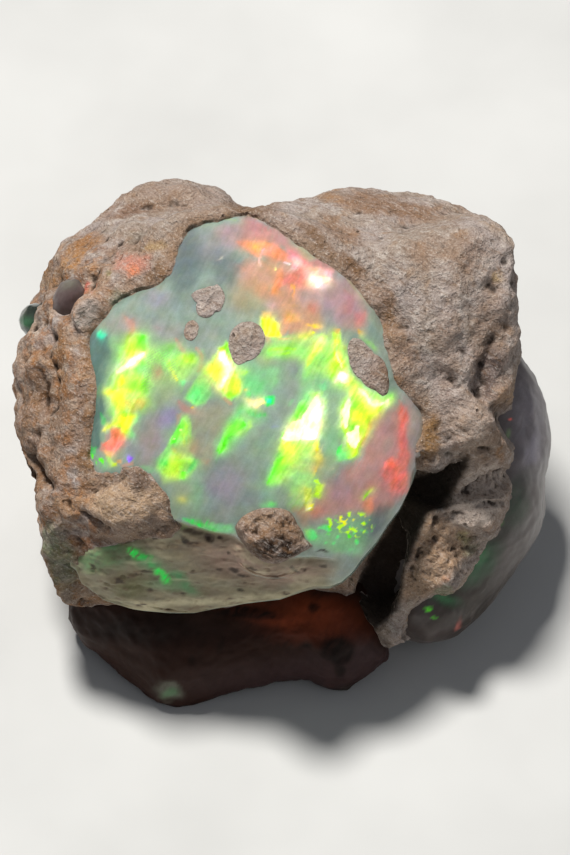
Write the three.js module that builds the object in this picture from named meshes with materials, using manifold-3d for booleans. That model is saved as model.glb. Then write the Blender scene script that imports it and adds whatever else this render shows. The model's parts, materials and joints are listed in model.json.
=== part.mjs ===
// Rough precious opal in its host rock, a hand specimen about 43 mm across.
//
// Three lenses of opal sit in one lump of pale volcanic rock. The main lens is broken open and shows
// a domed window and, below it, a steep lip. A second lens forms the foot in front and a third the
// right-hand side, and two beads show at the left edge. Islands of rock are left standing in the
// window and on its edge.
//
// Millimetres. The stone is shaped in the frame of its window: X runs across the window, Y up it and
// Z straight out of it. The finished stone is then leaned back about X into the pose in which it
// rests, cut off flat where it touches the ground, and stood with the middle of its box on the origin.

import * as THREE from "three";
import { ImprovedNoise } from "three/addons/math/ImprovedNoise.js";
import { mergeVertices } from "three/addons/utils/BufferGeometryUtils.js";
import Module from "manifold-3d";

const wasm = await Module();
wasm.setup();

// ---- driving dimensions -------------------------------------------------------------------------

const LEAN = THREE.MathUtils.degToRad(38); // how far the window leans back from facing straight up
const GROUND = -15; // height of the flat base below the middle of the stone, once leaned
const GAP = 0.3; // between each opal or island and the rock that holds it

const WINDOW = {
  apex: new THREE.Vector3(-2, 2, 15.5),
  curve: 27, // radius of the dome
  depth: 12.5, // thickness of the lens under the apex
  rim: 12, // height at which the lens has the outline drawn below
  draft: 0.12, // how much the lens narrows per millimetre of depth
  edge: 1.2, // rounding where the dome meets its wall and its lip
};
const COLLAR = {
  rise: 0.3, // how far the rock rim around the window stands above the dome's own curve
  width: 0.9,
  flare: 0.12, // how much wider it gets per millimetre of depth
  top: 18.6, // where it ends above the window
  foot: -5, // height of its lower end
  setback: 1.2, // how far behind the lip it stays
  edge: 1.2, // its rounding
};
const ROUGHNESS = { size: 5.6, height: 0.85, seed: 3.7 }; // the lumps of the rock's broken surface
const OPAL_WAVES = { size: 7, height: 0.5 }; // the gentler ones of the opals that show at its sides
const FILLET = { lumps: 1.8, collar: 1.4, faces: 2, ridges: 1.5, trenches: 1, opals: 2 };
const REACH = 27; // beyond every point of the stone, seen from the middle of any piece
const DETAIL = { rock: 12, window: 7, side: 4, island: 2, bead: 1 }; // how finely each piece is faceted

// ---- implicit forms: each is negative inside and grows with distance ------------------------------

const noise = new ImprovedNoise();

// Two octaves of noise with bumps about `size` across, between -1 and 1.
const lumpy = (p, size, seed) =>
  0.7 * noise.noise(p.x / size + seed, p.y / size, p.z / size) +
  0.3 * noise.noise((p.x / size) * 2.3, (p.y / size) * 2.3 + seed, (p.z / size) * 2.3);

// Joins two forms, or keeps what they share, with a fillet of about `round`.
function union(a, b, round) {
  const blend = Math.max(round - Math.abs(a - b), 0) / round;
  return Math.min(a, b) - blend * blend * round * 0.25;
}
const overlap = (a, b, round) => -union(-a, -b, round);
const carve = (a, b, round) => overlap(a, -b, round);
const swollen = (form, by) => Object.assign((p) => form(p) - by, { middle: form.middle });

// All of several forms, or what is inside every one of them.
const joined = (forms, round) => (p) => forms.reduce((sum, form) => union(sum, form(p), round), Infinity);
const common = (forms, round) => (p) => forms.reduce((rest, form) => overlap(rest, form(p), round), -Infinity);

// Carries points into the frame of a form that is moved and turned, with its turn in degrees.
function placer(centre, turn) {
  const at = new THREE.Vector3(...centre);
  const back = new THREE.Quaternion()
    .setFromEuler(new THREE.Euler(...turn.map(THREE.MathUtils.degToRad)))
    .invert();
  const local = new THREE.Vector3();
  return (p) => local.copy(p).sub(at).applyQuaternion(back);
}

// An ellipsoid, which keeps its middle for the rays that drape it.
function boulder(centre, radii, turn = [0, 0, 0]) {
  const toLocal = placer(centre, turn);
  const [rx, ry, rz] = radii;
  const form = (p) => {
    const { x, y, z } = toLocal(p);
    const scaled = Math.hypot(x / rx, y / ry, z / rz);
    const slope = Math.hypot(x / rx ** 2, y / ry ** 2, z / rz ** 2);
    return slope === 0 ? -Math.min(...radii) : (scaled * (scaled - 1)) / slope;
  };
  return Object.assign(form, { middle: new THREE.Vector3(...centre) });
}

// A block with rounded edges.
function block(centre, halfSizes, round, turn = [0, 0, 0]) {
  const toLocal = placer(centre, turn);
  const [hx, hy, hz] = halfSizes.map((half) => half - round);
  return (p) => {
    const local = toLocal(p);
    const qx = Math.abs(local.x) - hx;
    const qy = Math.abs(local.y) - hy;
    const qz = Math.abs(local.z) - hz;
    const outside = Math.hypot(Math.max(qx, 0), Math.max(qy, 0), Math.max(qz, 0));
    return outside + Math.min(Math.max(qx, qy, qz), 0) - round;
  };
}

// Everything behind the plane through `at` that faces along `facing`.
function behind(at, facing) {
  const normal = new THREE.Vector3(...facing).normalize();
  const offset = normal.dot(new THREE.Vector3(...at));
  return (p) => normal.dot(p) - offset;
}

// A round trench or ridge along a run of points.
function seam(points, radius) {
  const path = points.map((at) => new THREE.Vector3(...at));
  const legs = path.slice(1).map((end, i) => new THREE.Line3(path[i], end));
  const near = new THREE.Vector3();
  const gap = (leg, p) => leg.closestPointToPoint(p, true, near).distanceTo(p);
  return (p) => Math.min(...legs.map((leg) => gap(leg, p))) - radius;
}

// Everything within a smooth closed outline drawn on the window's plane.
function within(points, samples) {
  const corners = points.map(([x, y]) => new THREE.Vector3(x, y, 0));
  const curve = new THREE.CatmullRomCurve3(corners, true, "centripetal");
  const ring = curve.getPoints(samples).slice(0, samples);
  return (p) => {
    let nearest = Infinity;
    let inside = false;
    ring.forEach((a, i) => {
      const b = ring[(i + 1) % samples];
      const [ex, ey, wx, wy] = [b.x - a.x, b.y - a.y, p.x - a.x, p.y - a.y];
      const along = THREE.MathUtils.clamp((wx * ex + wy * ey) / (ex * ex + ey * ey), 0, 1);
      nearest = Math.min(nearest, Math.hypot(wx - ex * along, wy - ey * along));
      if (a.y > p.y !== b.y > p.y && p.x < (ex * (p.y - a.y)) / ey + a.x) inside = !inside;
    });
    return inside ? -nearest : nearest;
  };
}

// ---- from an implicit form to a closed solid --------------------------------------------------------

const bare = (geometry) => mergeVertices(geometry.deleteAttribute("normal").deleteAttribute("uv"), 1e-5);

// Drapes an icosahedron's points over a form, along rays from its middle.
function drape(form, detail) {
  const shell = bare(new THREE.IcosahedronGeometry(1, detail));
  const position = shell.getAttribute("position");
  const ray = new THREE.Vector3();
  const point = new THREE.Vector3();
  const at = (distance) => point.copy(ray).multiplyScalar(distance).add(form.middle);
  const step = 0.25;
  for (let i = 0; i < position.count; i++) {
    ray.fromBufferAttribute(position, i).normalize();
    let near = REACH;
    while (near > step && form(at(near)) > 0) near -= step;
    let far = near + step;
    for (let halving = 0; halving < 8; halving++) {
      const half = (near + far) / 2;
      if (form(at(half)) > 0) far = half;
      else near = half;
    }
    position.setXYZ(i, ...at(near));
  }
  return toSolid(shell);
}

function toSolid(geometry) {
  const vertProperties = new Float32Array(geometry.getAttribute("position").array);
  const triVerts = new Uint32Array(geometry.index.array);
  return new wasm.Manifold(new wasm.Mesh({ numProp: 3, vertProperties, triVerts }));
}

function toGeometry(solid) {
  const { vertProperties, triVerts } = solid.getMesh();
  return new THREE.BufferGeometry()
    .setAttribute("position", new THREE.BufferAttribute(vertProperties, 3))
    .setIndex(new THREE.BufferAttribute(triVerts, 1));
}

// The largest body of a solid, without the chips that a cut can leave loose.
const mainBody = (solid) => solid.decompose().reduce((a, b) => (a.volume() > b.volume() ? a : b));

// ---- the main opal: a domed window over a lens, with a steep lip at its lower edge ---------------------

const windowOutline = within(
  [
    [-2.8, 18.1], [1.5, 16.2], [5, 13.3], [7.6, 9.8], [8.8, 5.8], [10.4, 3.2], [11.1, 0.5],
    [10.3, -2.3], [9.2, -5.4], [7, -9.3], [4.2, -12], [-1.6, -13.2], [-7.5, -14.2],
    [-12.6, -13.6], [-17.2, -10.6], [-16.6, -5], [-15, -0.9], [-14.7, 3.5], [-15.1, 7.3],
    [-13.3, 10.8], [-9.1, 12.4], [-8, 16.3],
  ],
  66,
);
const domeMiddle = WINDOW.apex.clone().setZ(WINDOW.apex.z - WINDOW.curve);
const dome = (p) => p.distanceTo(domeMiddle) - WINDOW.curve;
const lip = behind([0, -7.9, 13.6], [-0.1, -0.72, 0.64]);

function lens(p, clearance) {
  const wall = windowOutline(p) + WINDOW.draft * (WINDOW.rim - p.z) - clearance;
  const floor = WINDOW.apex.z - WINDOW.depth - p.z - clearance;
  return overlap(wall, floor, 3);
}

const windowOpal = (p) => overlap(overlap(dome(p), lens(p, 0), WINDOW.edge), lip(p), WINDOW.edge);
windowOpal.middle = new THREE.Vector3(-2, 1, 8.5);

// Its seat in the rock, open above the dome and in front of the lip.
const OPENING = 6;
const windowSeat = (p) => overlap(overlap(dome(p), lip(p), 1) - OPENING, lens(p, GAP), 0.5);
windowSeat.middle = windowOpal.middle;

// ---- the other opals, each seated in the rock ---------------------------------------------------------------

const waves = (p, seed) => OPAL_WAVES.height * lumpy(p, OPAL_WAVES.size, seed);

const footBody = joined(
  [
    boulder([-6, -14.6, -4], [11.4, 6.8, 6.2], [0, 0, -6]),
    boulder([3.2, -14.6, -3.6], [5, 5.6, 5.4], [0, 0, 20]),
    boulder([-9, -13.6, -1.6], [6, 4.4, 4.4], [0, 0, -20]),
  ],
  FILLET.opals,
);
const footOpal = (p) => footBody(p) + waves(p, 1.3);
footOpal.middle = new THREE.Vector3(-3, -14.2, -3.6);

const sideBody = boulder([15, -4, -3.4], [6.4, 11.8, 6.6], [0, 0, -19]);
const sideFace = behind([20.6, -4, 0], [0.92, -0.34, 0.2]);
const sideOpal = (p) => overlap(sideBody(p), sideFace(p), FILLET.opals) + waves(p, 8.1);
sideOpal.middle = sideBody.middle;

const seatedOpals = {
  opal_foot: { form: footOpal, detail: DETAIL.side },
  opal_side: { form: sideOpal, detail: DETAIL.side },
  opal_bead: { form: boulder([-19.6, 9.8, 2.4], [1.2, 1.2, 1.6]), detail: DETAIL.bead },
  opal_lens: { form: boulder([-16.5, 11.4, 6.4], [1.2, 1.7, 1.6], [0, 0, -30]), detail: DETAIL.bead },
};

// ---- islands of rock in the window, and the boulders that lap over its lower left corner ----------------------

const islands = {
  island_upper: boulder([-5.6, 11.2, 12.7], [1.4, 1.35, 1.1]),
  island_small: boulder([-7.2, 9, 13.2], [0.75, 1, 1]),
  island_centre: boulder([-2.75, 7.9, 13.7], [1.4, 1.7, 1.4]),
  island_right: boulder([6.9, 5.9, 12.8], [1.1, 2.3, 1.1], [0, 0, 38]),
  island_edge: boulder([-0.7, -7.7, 12.4], [3, 2.4, 2], [30, 0, -8]),
};
const cornerBoulders = [
  boulder([-11.7, -4.7, 10], [4.3, 3.1, 3.6], [0, 0, 8]),
  boulder([-16, -4.6, 7], [3.4, 4.2, 5]),
];

// ---- the host rock ------------------------------------------------------------------------------------------

const lumps = joined(
  [
    boulder([0, -0.5, -2.6], [18.4, 16.8, 13.6]), // core
    block([11.7, 8.8, 2.2], [6, 8.8, 9.8], 3, [4, 12, 5]), // right shoulder
    boulder([13.2, 0.8, 4], [6, 4.8, 7.2]), // right bulge
    boulder([12.8, -7.6, -0.4], [4.4, 8.6, 6.4], [0, 0, -19]), // right tongue
    boulder([-15.2, 3, 1], [6.2, 12, 9]), // left flank
    boulder([-15.4, -6, 0.6], [4, 6.2, 7]), // lower left flank
    boulder([-12.8, 12, -1], [6.6, 7, 9]), // upper left shoulder
    boulder([-8.6, 16.2, -5.6], [6.8, 5.6, 6.4]), // knob at the back
    boulder([6, 13.6, 0.4], [9, 6.6, 9]), // crest behind the window
    boulder([8.8, 15, -2], [8.2, 5.8, 7]), // hump behind the crest
    block([0.5, 11, -5.6], [13, 7.6, 7], 4, [0, 0, 3]), // back, between the knob and the hump
    boulder([-2, 12.4, 1], [8, 6, 8.5]), // saddle that carries the window's top end
    boulder([-4, -12, -1.6], [12.4, 4.6, 4.4]), // ledge under the lip
  ],
  FILLET.lumps,
);
const brokenFaces = common(
  [
    behind([0, 4, -13.6], [0.12, 0.2, -0.97]), // back, low down
    behind([-13, -4, -9], [-0.78, -0.32, -0.54]), // left, low down
    behind([14.4, 8, -8], [0.74, 0.3, -0.6]), // right, low down
    behind([-13, 18.5, -8], [-0.6, 0.7, -0.4]), // behind the knob
  ],
  FILLET.faces,
);
const ridges = joined(
  [
    seam([[-19, 8.5, 4], [-15.5, 12.5, 7], [-9.5, 16, 8.5]], 0.9), // bands above the window's left shoulder
    seam([[-18.5, 5, 7], [-17.2, 0, 8.6], [-17.6, -4, 7.6]], 0.9), // flow bands down the left flank
    seam([[13.6, 14, 11.4], [13.6, 6, 11.8], [14.4, 1, 10.6]], 1), // crest down the right shoulder
  ],
  FILLET.ridges,
);
const trenches = joined(
  [
    seam([[11.6, -4.6, 13], [9.6, -8, 9], [7.4, -12.4, 4.6], [6, -15, 3]], 2.3), // beside the lip
    seam([[12, -4.4, 9.6], [15.4, -4.2, 7.6], [19.4, -3.4, 4.6]], 1.5), // under the right bulge
    seam([[-20.4, -1, 3.4], [-18.6, -5, 5.6]], 1.1), // left flank, low down
  ],
  FILLET.trenches,
);

// The rim of rock that stands around the window, open in front of the lip.
function collar(p) {
  const skirt = windowOutline(p) - COLLAR.width - COLLAR.flare * (WINDOW.rim - p.z);
  const rim = overlap(overlap(dome(p) - COLLAR.rise, skirt, COLLAR.edge), p.y - COLLAR.top, COLLAR.edge);
  return overlap(rim, overlap(lip(p) + COLLAR.setback, COLLAR.foot - p.z, COLLAR.edge), COLLAR.edge);
}

function hostRock(p) {
  const whole = union(lumps(p), collar(p), FILLET.collar);
  const broken = overlap(whole, brokenFaces(p), FILLET.faces);
  const rough = broken + ROUGHNESS.height * lumpy(p, ROUGHNESS.size, ROUGHNESS.seed);
  return carve(union(rough, ridges(p), FILLET.ridges), trenches(p), FILLET.trenches);
}
hostRock.middle = new THREE.Vector3(0, 0, 0);

// ---- assembly -------------------------------------------------------------------------------------------------

const rockFinish = new THREE.MeshStandardMaterial({ color: 0xa08a76, roughness: 0.95, metalness: 0 });
const opalFinish = new THREE.MeshStandardMaterial({ color: 0x9db8a4, roughness: 0.12, metalness: 0 });

const stone = new THREE.Group();
stone.rotation.x = LEAN;

function add(name, solid, finish) {
  const mesh = new THREE.Mesh(toGeometry(mainBody(solid)), finish);
  mesh.name = name;
  stone.add(mesh);
}

const GROUND_SLAB = { width: 90, depth: 40 };
const ground = toSolid(
  bare(new THREE.BoxGeometry(GROUND_SLAB.width, GROUND_SLAB.width, GROUND_SLAB.depth))
    .translate(0, 0, GROUND - GROUND_SLAB.depth / 2)
    .applyMatrix4(new THREE.Matrix4().makeRotationX(-LEAN)),
);

let rock = drape(hostRock, DETAIL.rock).subtract(drape(windowSeat, DETAIL.window));
let opal = drape(windowOpal, DETAIL.window);
for (const corner of cornerBoulders) {
  rock = rock.add(drape(corner, DETAIL.island));
  opal = opal.subtract(drape(swollen(corner, GAP), DETAIL.island));
}
for (const [name, { form, detail }] of Object.entries(seatedOpals)) {
  rock = rock.subtract(drape(swollen(form, GAP), detail));
  add(name, drape(form, detail).subtract(ground), opalFinish);
}
for (const [name, form] of Object.entries(islands)) {
  opal = opal.subtract(drape(swollen(form, GAP), DETAIL.island));
  add(name, drape(form, DETAIL.island), rockFinish);
}
add("host_rock", rock.subtract(ground), rockFinish);
add("opal_window", opal, opalFinish);

const specimen = new THREE.Group();
specimen.add(stone);

// Stands the stone with the middle of its box on the origin.
const box = new THREE.Box3().setFromObject(specimen, true);
const middle = box.getCenter(new THREE.Vector3());
stone.position.set(-middle.x, -middle.y, -box.min.z);
export default specimen;
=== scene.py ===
"""A rough precious opal: a dome of fiery opal in its own nodule of pale volcanic rock."""

import json
import math

import bpy
import numpy as np
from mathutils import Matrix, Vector
from mathutils.bvhtree import BVHTree

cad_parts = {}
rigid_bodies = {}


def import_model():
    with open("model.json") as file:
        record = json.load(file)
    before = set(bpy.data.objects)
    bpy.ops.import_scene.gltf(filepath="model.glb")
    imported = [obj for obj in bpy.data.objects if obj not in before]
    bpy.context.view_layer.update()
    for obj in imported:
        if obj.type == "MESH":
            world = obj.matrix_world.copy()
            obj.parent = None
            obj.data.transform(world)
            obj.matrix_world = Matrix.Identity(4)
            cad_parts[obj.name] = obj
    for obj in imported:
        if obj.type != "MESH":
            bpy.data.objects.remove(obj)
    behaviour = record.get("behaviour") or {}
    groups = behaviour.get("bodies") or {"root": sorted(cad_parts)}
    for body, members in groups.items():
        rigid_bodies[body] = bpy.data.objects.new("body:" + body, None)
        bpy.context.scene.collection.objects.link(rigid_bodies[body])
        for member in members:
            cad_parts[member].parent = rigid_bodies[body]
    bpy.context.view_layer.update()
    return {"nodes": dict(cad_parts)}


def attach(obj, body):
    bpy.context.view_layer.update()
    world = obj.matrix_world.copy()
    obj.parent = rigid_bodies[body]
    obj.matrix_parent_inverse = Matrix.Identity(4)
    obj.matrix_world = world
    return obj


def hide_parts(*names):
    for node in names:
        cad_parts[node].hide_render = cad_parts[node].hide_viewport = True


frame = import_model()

MM = 0.001

# ---------------------------------------------------------------- the window's own frame

LEAN = math.radians(38)  # the window looks up and forwards at this lean
MIDDLE = np.array((-0.315, -3.045, 15.0))  # where the window frame starts, in mm
ACROSS = np.array((1.0, 0.0, 0.0))
UPHILL = np.array((0.0, math.cos(LEAN), math.sin(LEAN)))
OUTWARD = np.array((0.0, -math.sin(LEAN), math.cos(LEAN)))
FACE = np.stack([ACROSS, UPHILL, OUTWARD], axis=1)

# The marks are laid out on a sheet seen face-on: x to the right and y down, in units of 1/12.75 mm.
SHEET_UNIT = 12.75
SHEET_SIZE = (570, 855)
STAND_OFF = 300.0
AIM = (0.31, 1.22, 8.0)

CAST_FROM = 40.0  # mm outward, clear of the whole stone
CLEFT_DEPTH = 3.0  # mm
ROCK_CELL = 0.15  # mm, the size of the squares that the rock's skin is rebuilt of
ROCK_TRIANGLES = 190000
BACK_FROM = 17.8  # mm behind the middle, where the rock's back is drawn in a little
RIM_REACH = 3.8  # mm of rock round the opal that is shaped as its rim
RIM_DEPTH = 3.0  # mm under the opal's skin that the rim is shaped down to
DOME_MIDDLE = (250, 420)
CREASE_ANGLE = math.radians(50)


def to_face(points):
    """Row frame in metres to the window's frame in millimetres: across, uphill, outward."""
    return (points / MM - MIDDLE) @ FACE


def to_row(points):
    """The window's frame in millimetres back to the row frame in metres."""
    return (points @ FACE.T + MIDDLE) * MM


def to_sheet(face):
    """Where points of the window's frame fall on the marking sheet."""
    scale = SHEET_UNIT * STAND_OFF / (STAND_OFF + AIM[2] - face[:, 2])
    x = SHEET_SIZE[0] / 2 + scale * (face[:, 0] - AIM[0])
    y = SHEET_SIZE[1] / 2 - scale * (face[:, 1] - AIM[1])
    return np.stack([x, y], axis=1)


def from_sheet(marks, outward):
    """The window's frame for sheet points at a given height outward."""
    scale = SHEET_UNIT * STAND_OFF / (STAND_OFF + AIM[2] - outward)
    across = (marks[:, 0] - SHEET_SIZE[0] / 2) / scale + AIM[0]
    uphill = (SHEET_SIZE[1] / 2 - marks[:, 1]) / scale + AIM[1]
    return np.stack([across, uphill, outward], axis=1)


def segments(line, closed):
    """Start points and steps of a line's segments."""
    start = np.array(line, float)
    end = np.roll(start, -1, axis=0)
    if not closed:
        start = start[:-1]
        end = end[:-1]
    return start, end - start


def reach(points, line, closed=False):
    """Distance from each sheet point to a line, and how far along the line, from 0 to 1."""
    start, step = segments(line, closed)
    best = np.full(len(points), 1e9)
    along = np.zeros(len(points))
    for n in range(len(start)):
        offset = points - start[n]
        t = np.clip(offset @ step[n] / max(step[n] @ step[n], 1e-9), 0, 1)
        gap = np.hypot(*(offset - t[:, None] * step[n]).T)
        closer = gap < best
        best[closer] = gap[closer]
        along[closer] = (n + t[closer]) / len(start)
    return best, along


def nearest(points, line):
    """The nearest place on a line to each sheet point."""
    start, step = segments(line, False)
    best = np.full(len(points), 1e9)
    place = np.zeros((len(points), 2))
    for n in range(len(start)):
        offset = points - start[n]
        t = np.clip(offset @ step[n] / max(step[n] @ step[n], 1e-9), 0, 1)
        foot = start[n] + t[:, None] * step[n]
        gap = np.hypot(*(points - foot).T)
        closer = gap < best
        best[closer] = gap[closer]
        place[closer] = foot[closer]
    return place


def enclosed(points, loop):
    """Which sheet points are inside a closed line."""
    start, step = segments(loop, True)
    inside = np.zeros(len(points), bool)
    for n in range(len(start)):
        x0, y0 = start[n]
        x1, y1 = start[n] + step[n]
        if y0 == y1:
            continue
        spans = (y0 > points[:, 1]) != (y1 > points[:, 1])
        crossing = x0 + (points[:, 1] - y0) * (x1 - x0) / (y1 - y0)
        inside ^= spans & (points[:, 0] < crossing)
    return inside


def outside_by(points, loop):
    """Distance outside a closed line, negative inside, in mm."""
    gap, _ = reach(points, loop, closed=True)
    return np.where(enclosed(points, loop), -gap, gap) / SHEET_UNIT


def ease(low, high, value):
    """0 below low, 1 above high, smooth between."""
    t = np.clip((value - low) / (high - low), 0, 1)
    return t * t * (3 - 2 * t)


def paired(run):
    """Sheet points from a run of x and y values."""
    return list(zip(run[::2], run[1::2]))


def oval(marks, middle, half):
    """How far out each sheet point lies in an oval: 0 in its middle and 1 on its rim."""
    return np.hypot(*((marks - np.array(middle)) / np.array(half)).T)


def turned(offset, degrees):
    """Sheet offsets along and across a direction turned by that angle."""
    a = math.radians(degrees)
    x = offset[:, 0] * math.cos(a) + offset[:, 1] * math.sin(a)
    y = offset[:, 1] * math.cos(a) - offset[:, 0] * math.sin(a)
    return x, y


# ---------------------------------------------------------------- noise

def scrambled(cell, salt):
    """A repeatable whole number for each lattice cell."""
    n = cell[..., 0] * 73856093 ^ cell[..., 1] * 19349663 ^ cell[..., 2] * 83492791 ^ (salt * 40503 + 977)
    n = ((n ^ (n >> 13)) & 0x7FFFFFFF) * 1274126177 & 0x7FFFFFFF
    return (n ^ (n >> 16)) & 0x7FFFFFFF


def lumpy(points, size, salt=0):
    """Smooth noise between about -1 and 1 with lumps of that size."""
    scaled = points / size
    base = np.floor(scaled).astype(np.int64)
    frac = scaled - base
    fade = frac * frac * frac * (frac * (frac * 6 - 15) + 10)
    total = np.zeros(len(points))
    for corner in range(8):
        step = np.array((corner & 1, corner >> 1 & 1, corner >> 2 & 1))
        n = scrambled(base + step, salt)
        turn = (n & 1023) * (2 * math.pi / 1024)
        tilt = (n >> 10 & 1023) / 511.5 - 1
        flat = np.sqrt(np.maximum(1 - tilt * tilt, 0))
        lean = np.stack([np.cos(turn) * flat, np.sin(turn) * flat, tilt], axis=1)
        weight = np.prod(np.where(step == 1, fade, 1 - fade), axis=1)
        total += weight * np.sum(lean * (frac - step), axis=1)
    return total * 1.6


def wobble(points, size, salt):
    """Two lumpy noises side by side, to shift sheet points with."""
    return np.stack([lumpy(points, size, salt), lumpy(points, size, salt + 1)], axis=1)


def crumbly(points, size, rounds, salt=0):
    """Noise of several sizes, each half the last."""
    total = np.zeros(len(points))
    for n in range(rounds):
        total += lumpy(points, size / 2 ** n, salt + 17 * n) / 1.7 ** n
    return total


def pebbly(points, size, salt=0):
    """Distances to the nearest and second nearest of scattered points, in cells of that size."""
    scaled = points / size
    base = np.floor(scaled).astype(np.int64)
    first = np.full(len(points), 9.0)
    second = np.full(len(points), 9.0)
    for corner in range(27):
        cell = base + np.array((corner % 3 - 1, corner // 3 % 3 - 1, corner // 9 - 1))
        n = scrambled(cell, salt)
        m = scrambled(cell, salt + 5)
        spot = np.stack([(n & 1023), (n >> 10 & 1023), (m & 1023)], axis=1) / 1023.0
        gap = np.linalg.norm(cell + spot - scaled, axis=1)
        second = np.minimum(second, np.maximum(first, gap))
        first = np.minimum(first, gap)
    return first, second


# ---------------------------------------------------------------- mesh helpers

def only(piece):
    """Selects one object and nothing else."""
    bpy.ops.object.select_all(action="DESELECT")
    piece.select_set(True)
    bpy.context.view_layer.objects.active = piece


def places(piece):
    """A mesh's points as an array of metres."""
    flat = np.empty(len(piece.data.vertices) * 3, np.float32)
    piece.data.vertices.foreach_get("co", flat)
    return flat.reshape(-1, 3).astype(float)


def put_places(piece, points):
    """Sets a mesh's points from an array of metres."""
    piece.data.vertices.foreach_set("co", points.astype(np.float32).ravel())
    piece.data.update()


def leanings(piece):
    """A mesh's outward direction at each point."""
    flat = np.empty(len(piece.data.vertices) * 3, np.float32)
    piece.data.vertices.foreach_get("normal", flat)
    return flat.reshape(-1, 3).astype(float)


def evened(piece, values, rounds):
    """Values averaged with their neighbours over the mesh, several times."""
    ends = np.empty(len(piece.data.edges) * 2, np.int64)
    piece.data.edges.foreach_get("vertices", ends)
    a, b = ends[0::2], ends[1::2]
    count = len(values)
    shares = np.maximum(np.bincount(a, minlength=count) + np.bincount(b, minlength=count), 1)
    result = values.reshape(count, -1).astype(float)
    for _ in range(rounds):
        blended = np.empty_like(result)
        for column in range(result.shape[1]):
            near = np.bincount(a, weights=result[b, column], minlength=count)
            near += np.bincount(b, weights=result[a, column], minlength=count)
            blended[:, column] = near / shares
        result = 0.5 * result + 0.5 * blended
    return result.reshape(values.shape)


def finish_with(piece, kind, **settings):
    """Adds a modifier with those settings and applies it."""
    only(piece)
    modifier = piece.modifiers.new(kind.lower(), kind)
    for key, value in settings.items():
        setattr(modifier, key, value)
    bpy.ops.object.modifier_apply(modifier=modifier.name)


def copied(name, *nodes):
    """One merged object made of copies of CAD nodes."""
    bpy.ops.object.select_all(action="DESELECT")
    parts = []
    for node in nodes:
        part = bpy.data.objects.new(name, frame["nodes"][node].data.copy())
        bpy.context.collection.objects.link(part)
        part.select_set(True)
        parts.append(part)
    bpy.context.view_layer.objects.active = parts[0]
    if len(parts) > 1:
        bpy.ops.object.join()
    bpy.ops.object.mode_set(mode="EDIT")
    bpy.ops.mesh.select_all(action="SELECT")
    bpy.ops.mesh.remove_doubles(threshold=1e-6)
    bpy.ops.object.mode_set(mode="OBJECT")
    parts[0].data.materials.clear()
    return parts[0]


def grown(name, nodes, swell, grid, smooth, settle):
    """Nodes merged into one closed skin of even squares, with the gaps between them shut."""
    piece = copied(name, *nodes)
    finish_with(piece, "DISPLACE", strength=swell * MM, mid_level=0.0)
    finish_with(piece, "REMESH", mode="VOXEL", voxel_size=grid * MM, adaptivity=0.0)
    if settle:
        finish_with(piece, "DISPLACE", strength=settle * MM, mid_level=0.0)
    finish_with(piece, "SMOOTH", factor=0.5, iterations=smooth)
    return piece


def opened(piece, kind, parts, chosen):
    """Opens a mesh for editing with only the chosen faces or points picked."""
    only(piece)
    bpy.ops.object.mode_set(mode="EDIT")
    bpy.ops.mesh.select_mode(type=kind)
    bpy.ops.mesh.select_all(action="DESELECT")
    bpy.ops.object.mode_set(mode="OBJECT")
    parts.foreach_set("select", chosen)
    bpy.ops.object.mode_set(mode="EDIT")


def finer(piece, chosen, cuts):
    """Splits the chosen faces of a mesh into smaller ones."""
    opened(piece, "FACE", piece.data.polygons, chosen)
    bpy.ops.mesh.subdivide(number_cuts=cuts, smoothness=0.0)
    bpy.ops.object.mode_set(mode="OBJECT")


def single(piece):
    """Keeps the body of a piece and drops crumbs that hang loose beside it."""
    up = places(piece)[:, 2]
    opened(piece, "VERT", piece.data.vertices, np.arange(len(up)) == up.argmax())
    bpy.ops.mesh.select_linked()
    bpy.ops.mesh.select_all(action="INVERT")
    bpy.ops.mesh.delete(type="VERT")
    bpy.ops.object.mode_set(mode="OBJECT")


def healed(piece, before, rounds):
    """Evens out the parts of a piece that were moved far, so that they aren't drawn out in threads."""
    points = places(piece)
    moved = evened(piece, np.linalg.norm(points - before, axis=1)[:, None] / MM, 6)
    points += ease(0.45, 1.4, moved) * (evened(piece, points, rounds) - points)
    points[:, 2] = np.maximum(points[:, 2], 0.0)
    put_places(piece, points)


def middles(piece):
    """The middle of each face of a mesh, in metres."""
    flat = np.empty(len(piece.data.polygons) * 3, np.float32)
    piece.data.polygons.foreach_get("center", flat)
    return flat.reshape(-1, 3).astype(float)


def shell(piece):
    """A mesh as something that lines can be cast onto, in metres."""
    mesh = piece.data
    mesh.calc_loop_triangles()
    corners = np.empty(len(mesh.loop_triangles) * 3, np.int32)
    mesh.loop_triangles.foreach_get("vertices", corners)
    return BVHTree.FromPolygons(places(piece).tolist(), corners.reshape(-1, 3).tolist())


def heights(skin, face):
    """How far outward a skin stands under each point of the window's frame; nan beside it."""
    start = face.copy()
    start[:, 2] = CAST_FROM
    found = np.full(len(face), np.nan)
    along = Vector(-OUTWARD)
    for n, point in enumerate(to_row(start)):
        hit = skin.ray_cast(Vector(point), along)
        if hit[0] is not None:
            found[n] = CAST_FROM - hit[3] / MM
    return found


def cut_with(piece, cutter):
    """Takes one closed piece's space out of another."""
    finish_with(piece, "BOOLEAN", operation="DIFFERENCE", object=cutter, solver="MANIFOLD")


def note(piece, name, values):
    """Stores a value or a colour with strength at each point of a mesh."""
    kind = "FLOAT" if values.ndim == 1 else "FLOAT_COLOR"
    key = "value" if values.ndim == 1 else "color"
    layer = piece.data.attributes.new(name, kind, "POINT")
    layer.data.foreach_set(key, values.astype(np.float32).ravel())


# ---------------------------------------------------------------- outlines on the sheet

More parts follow.
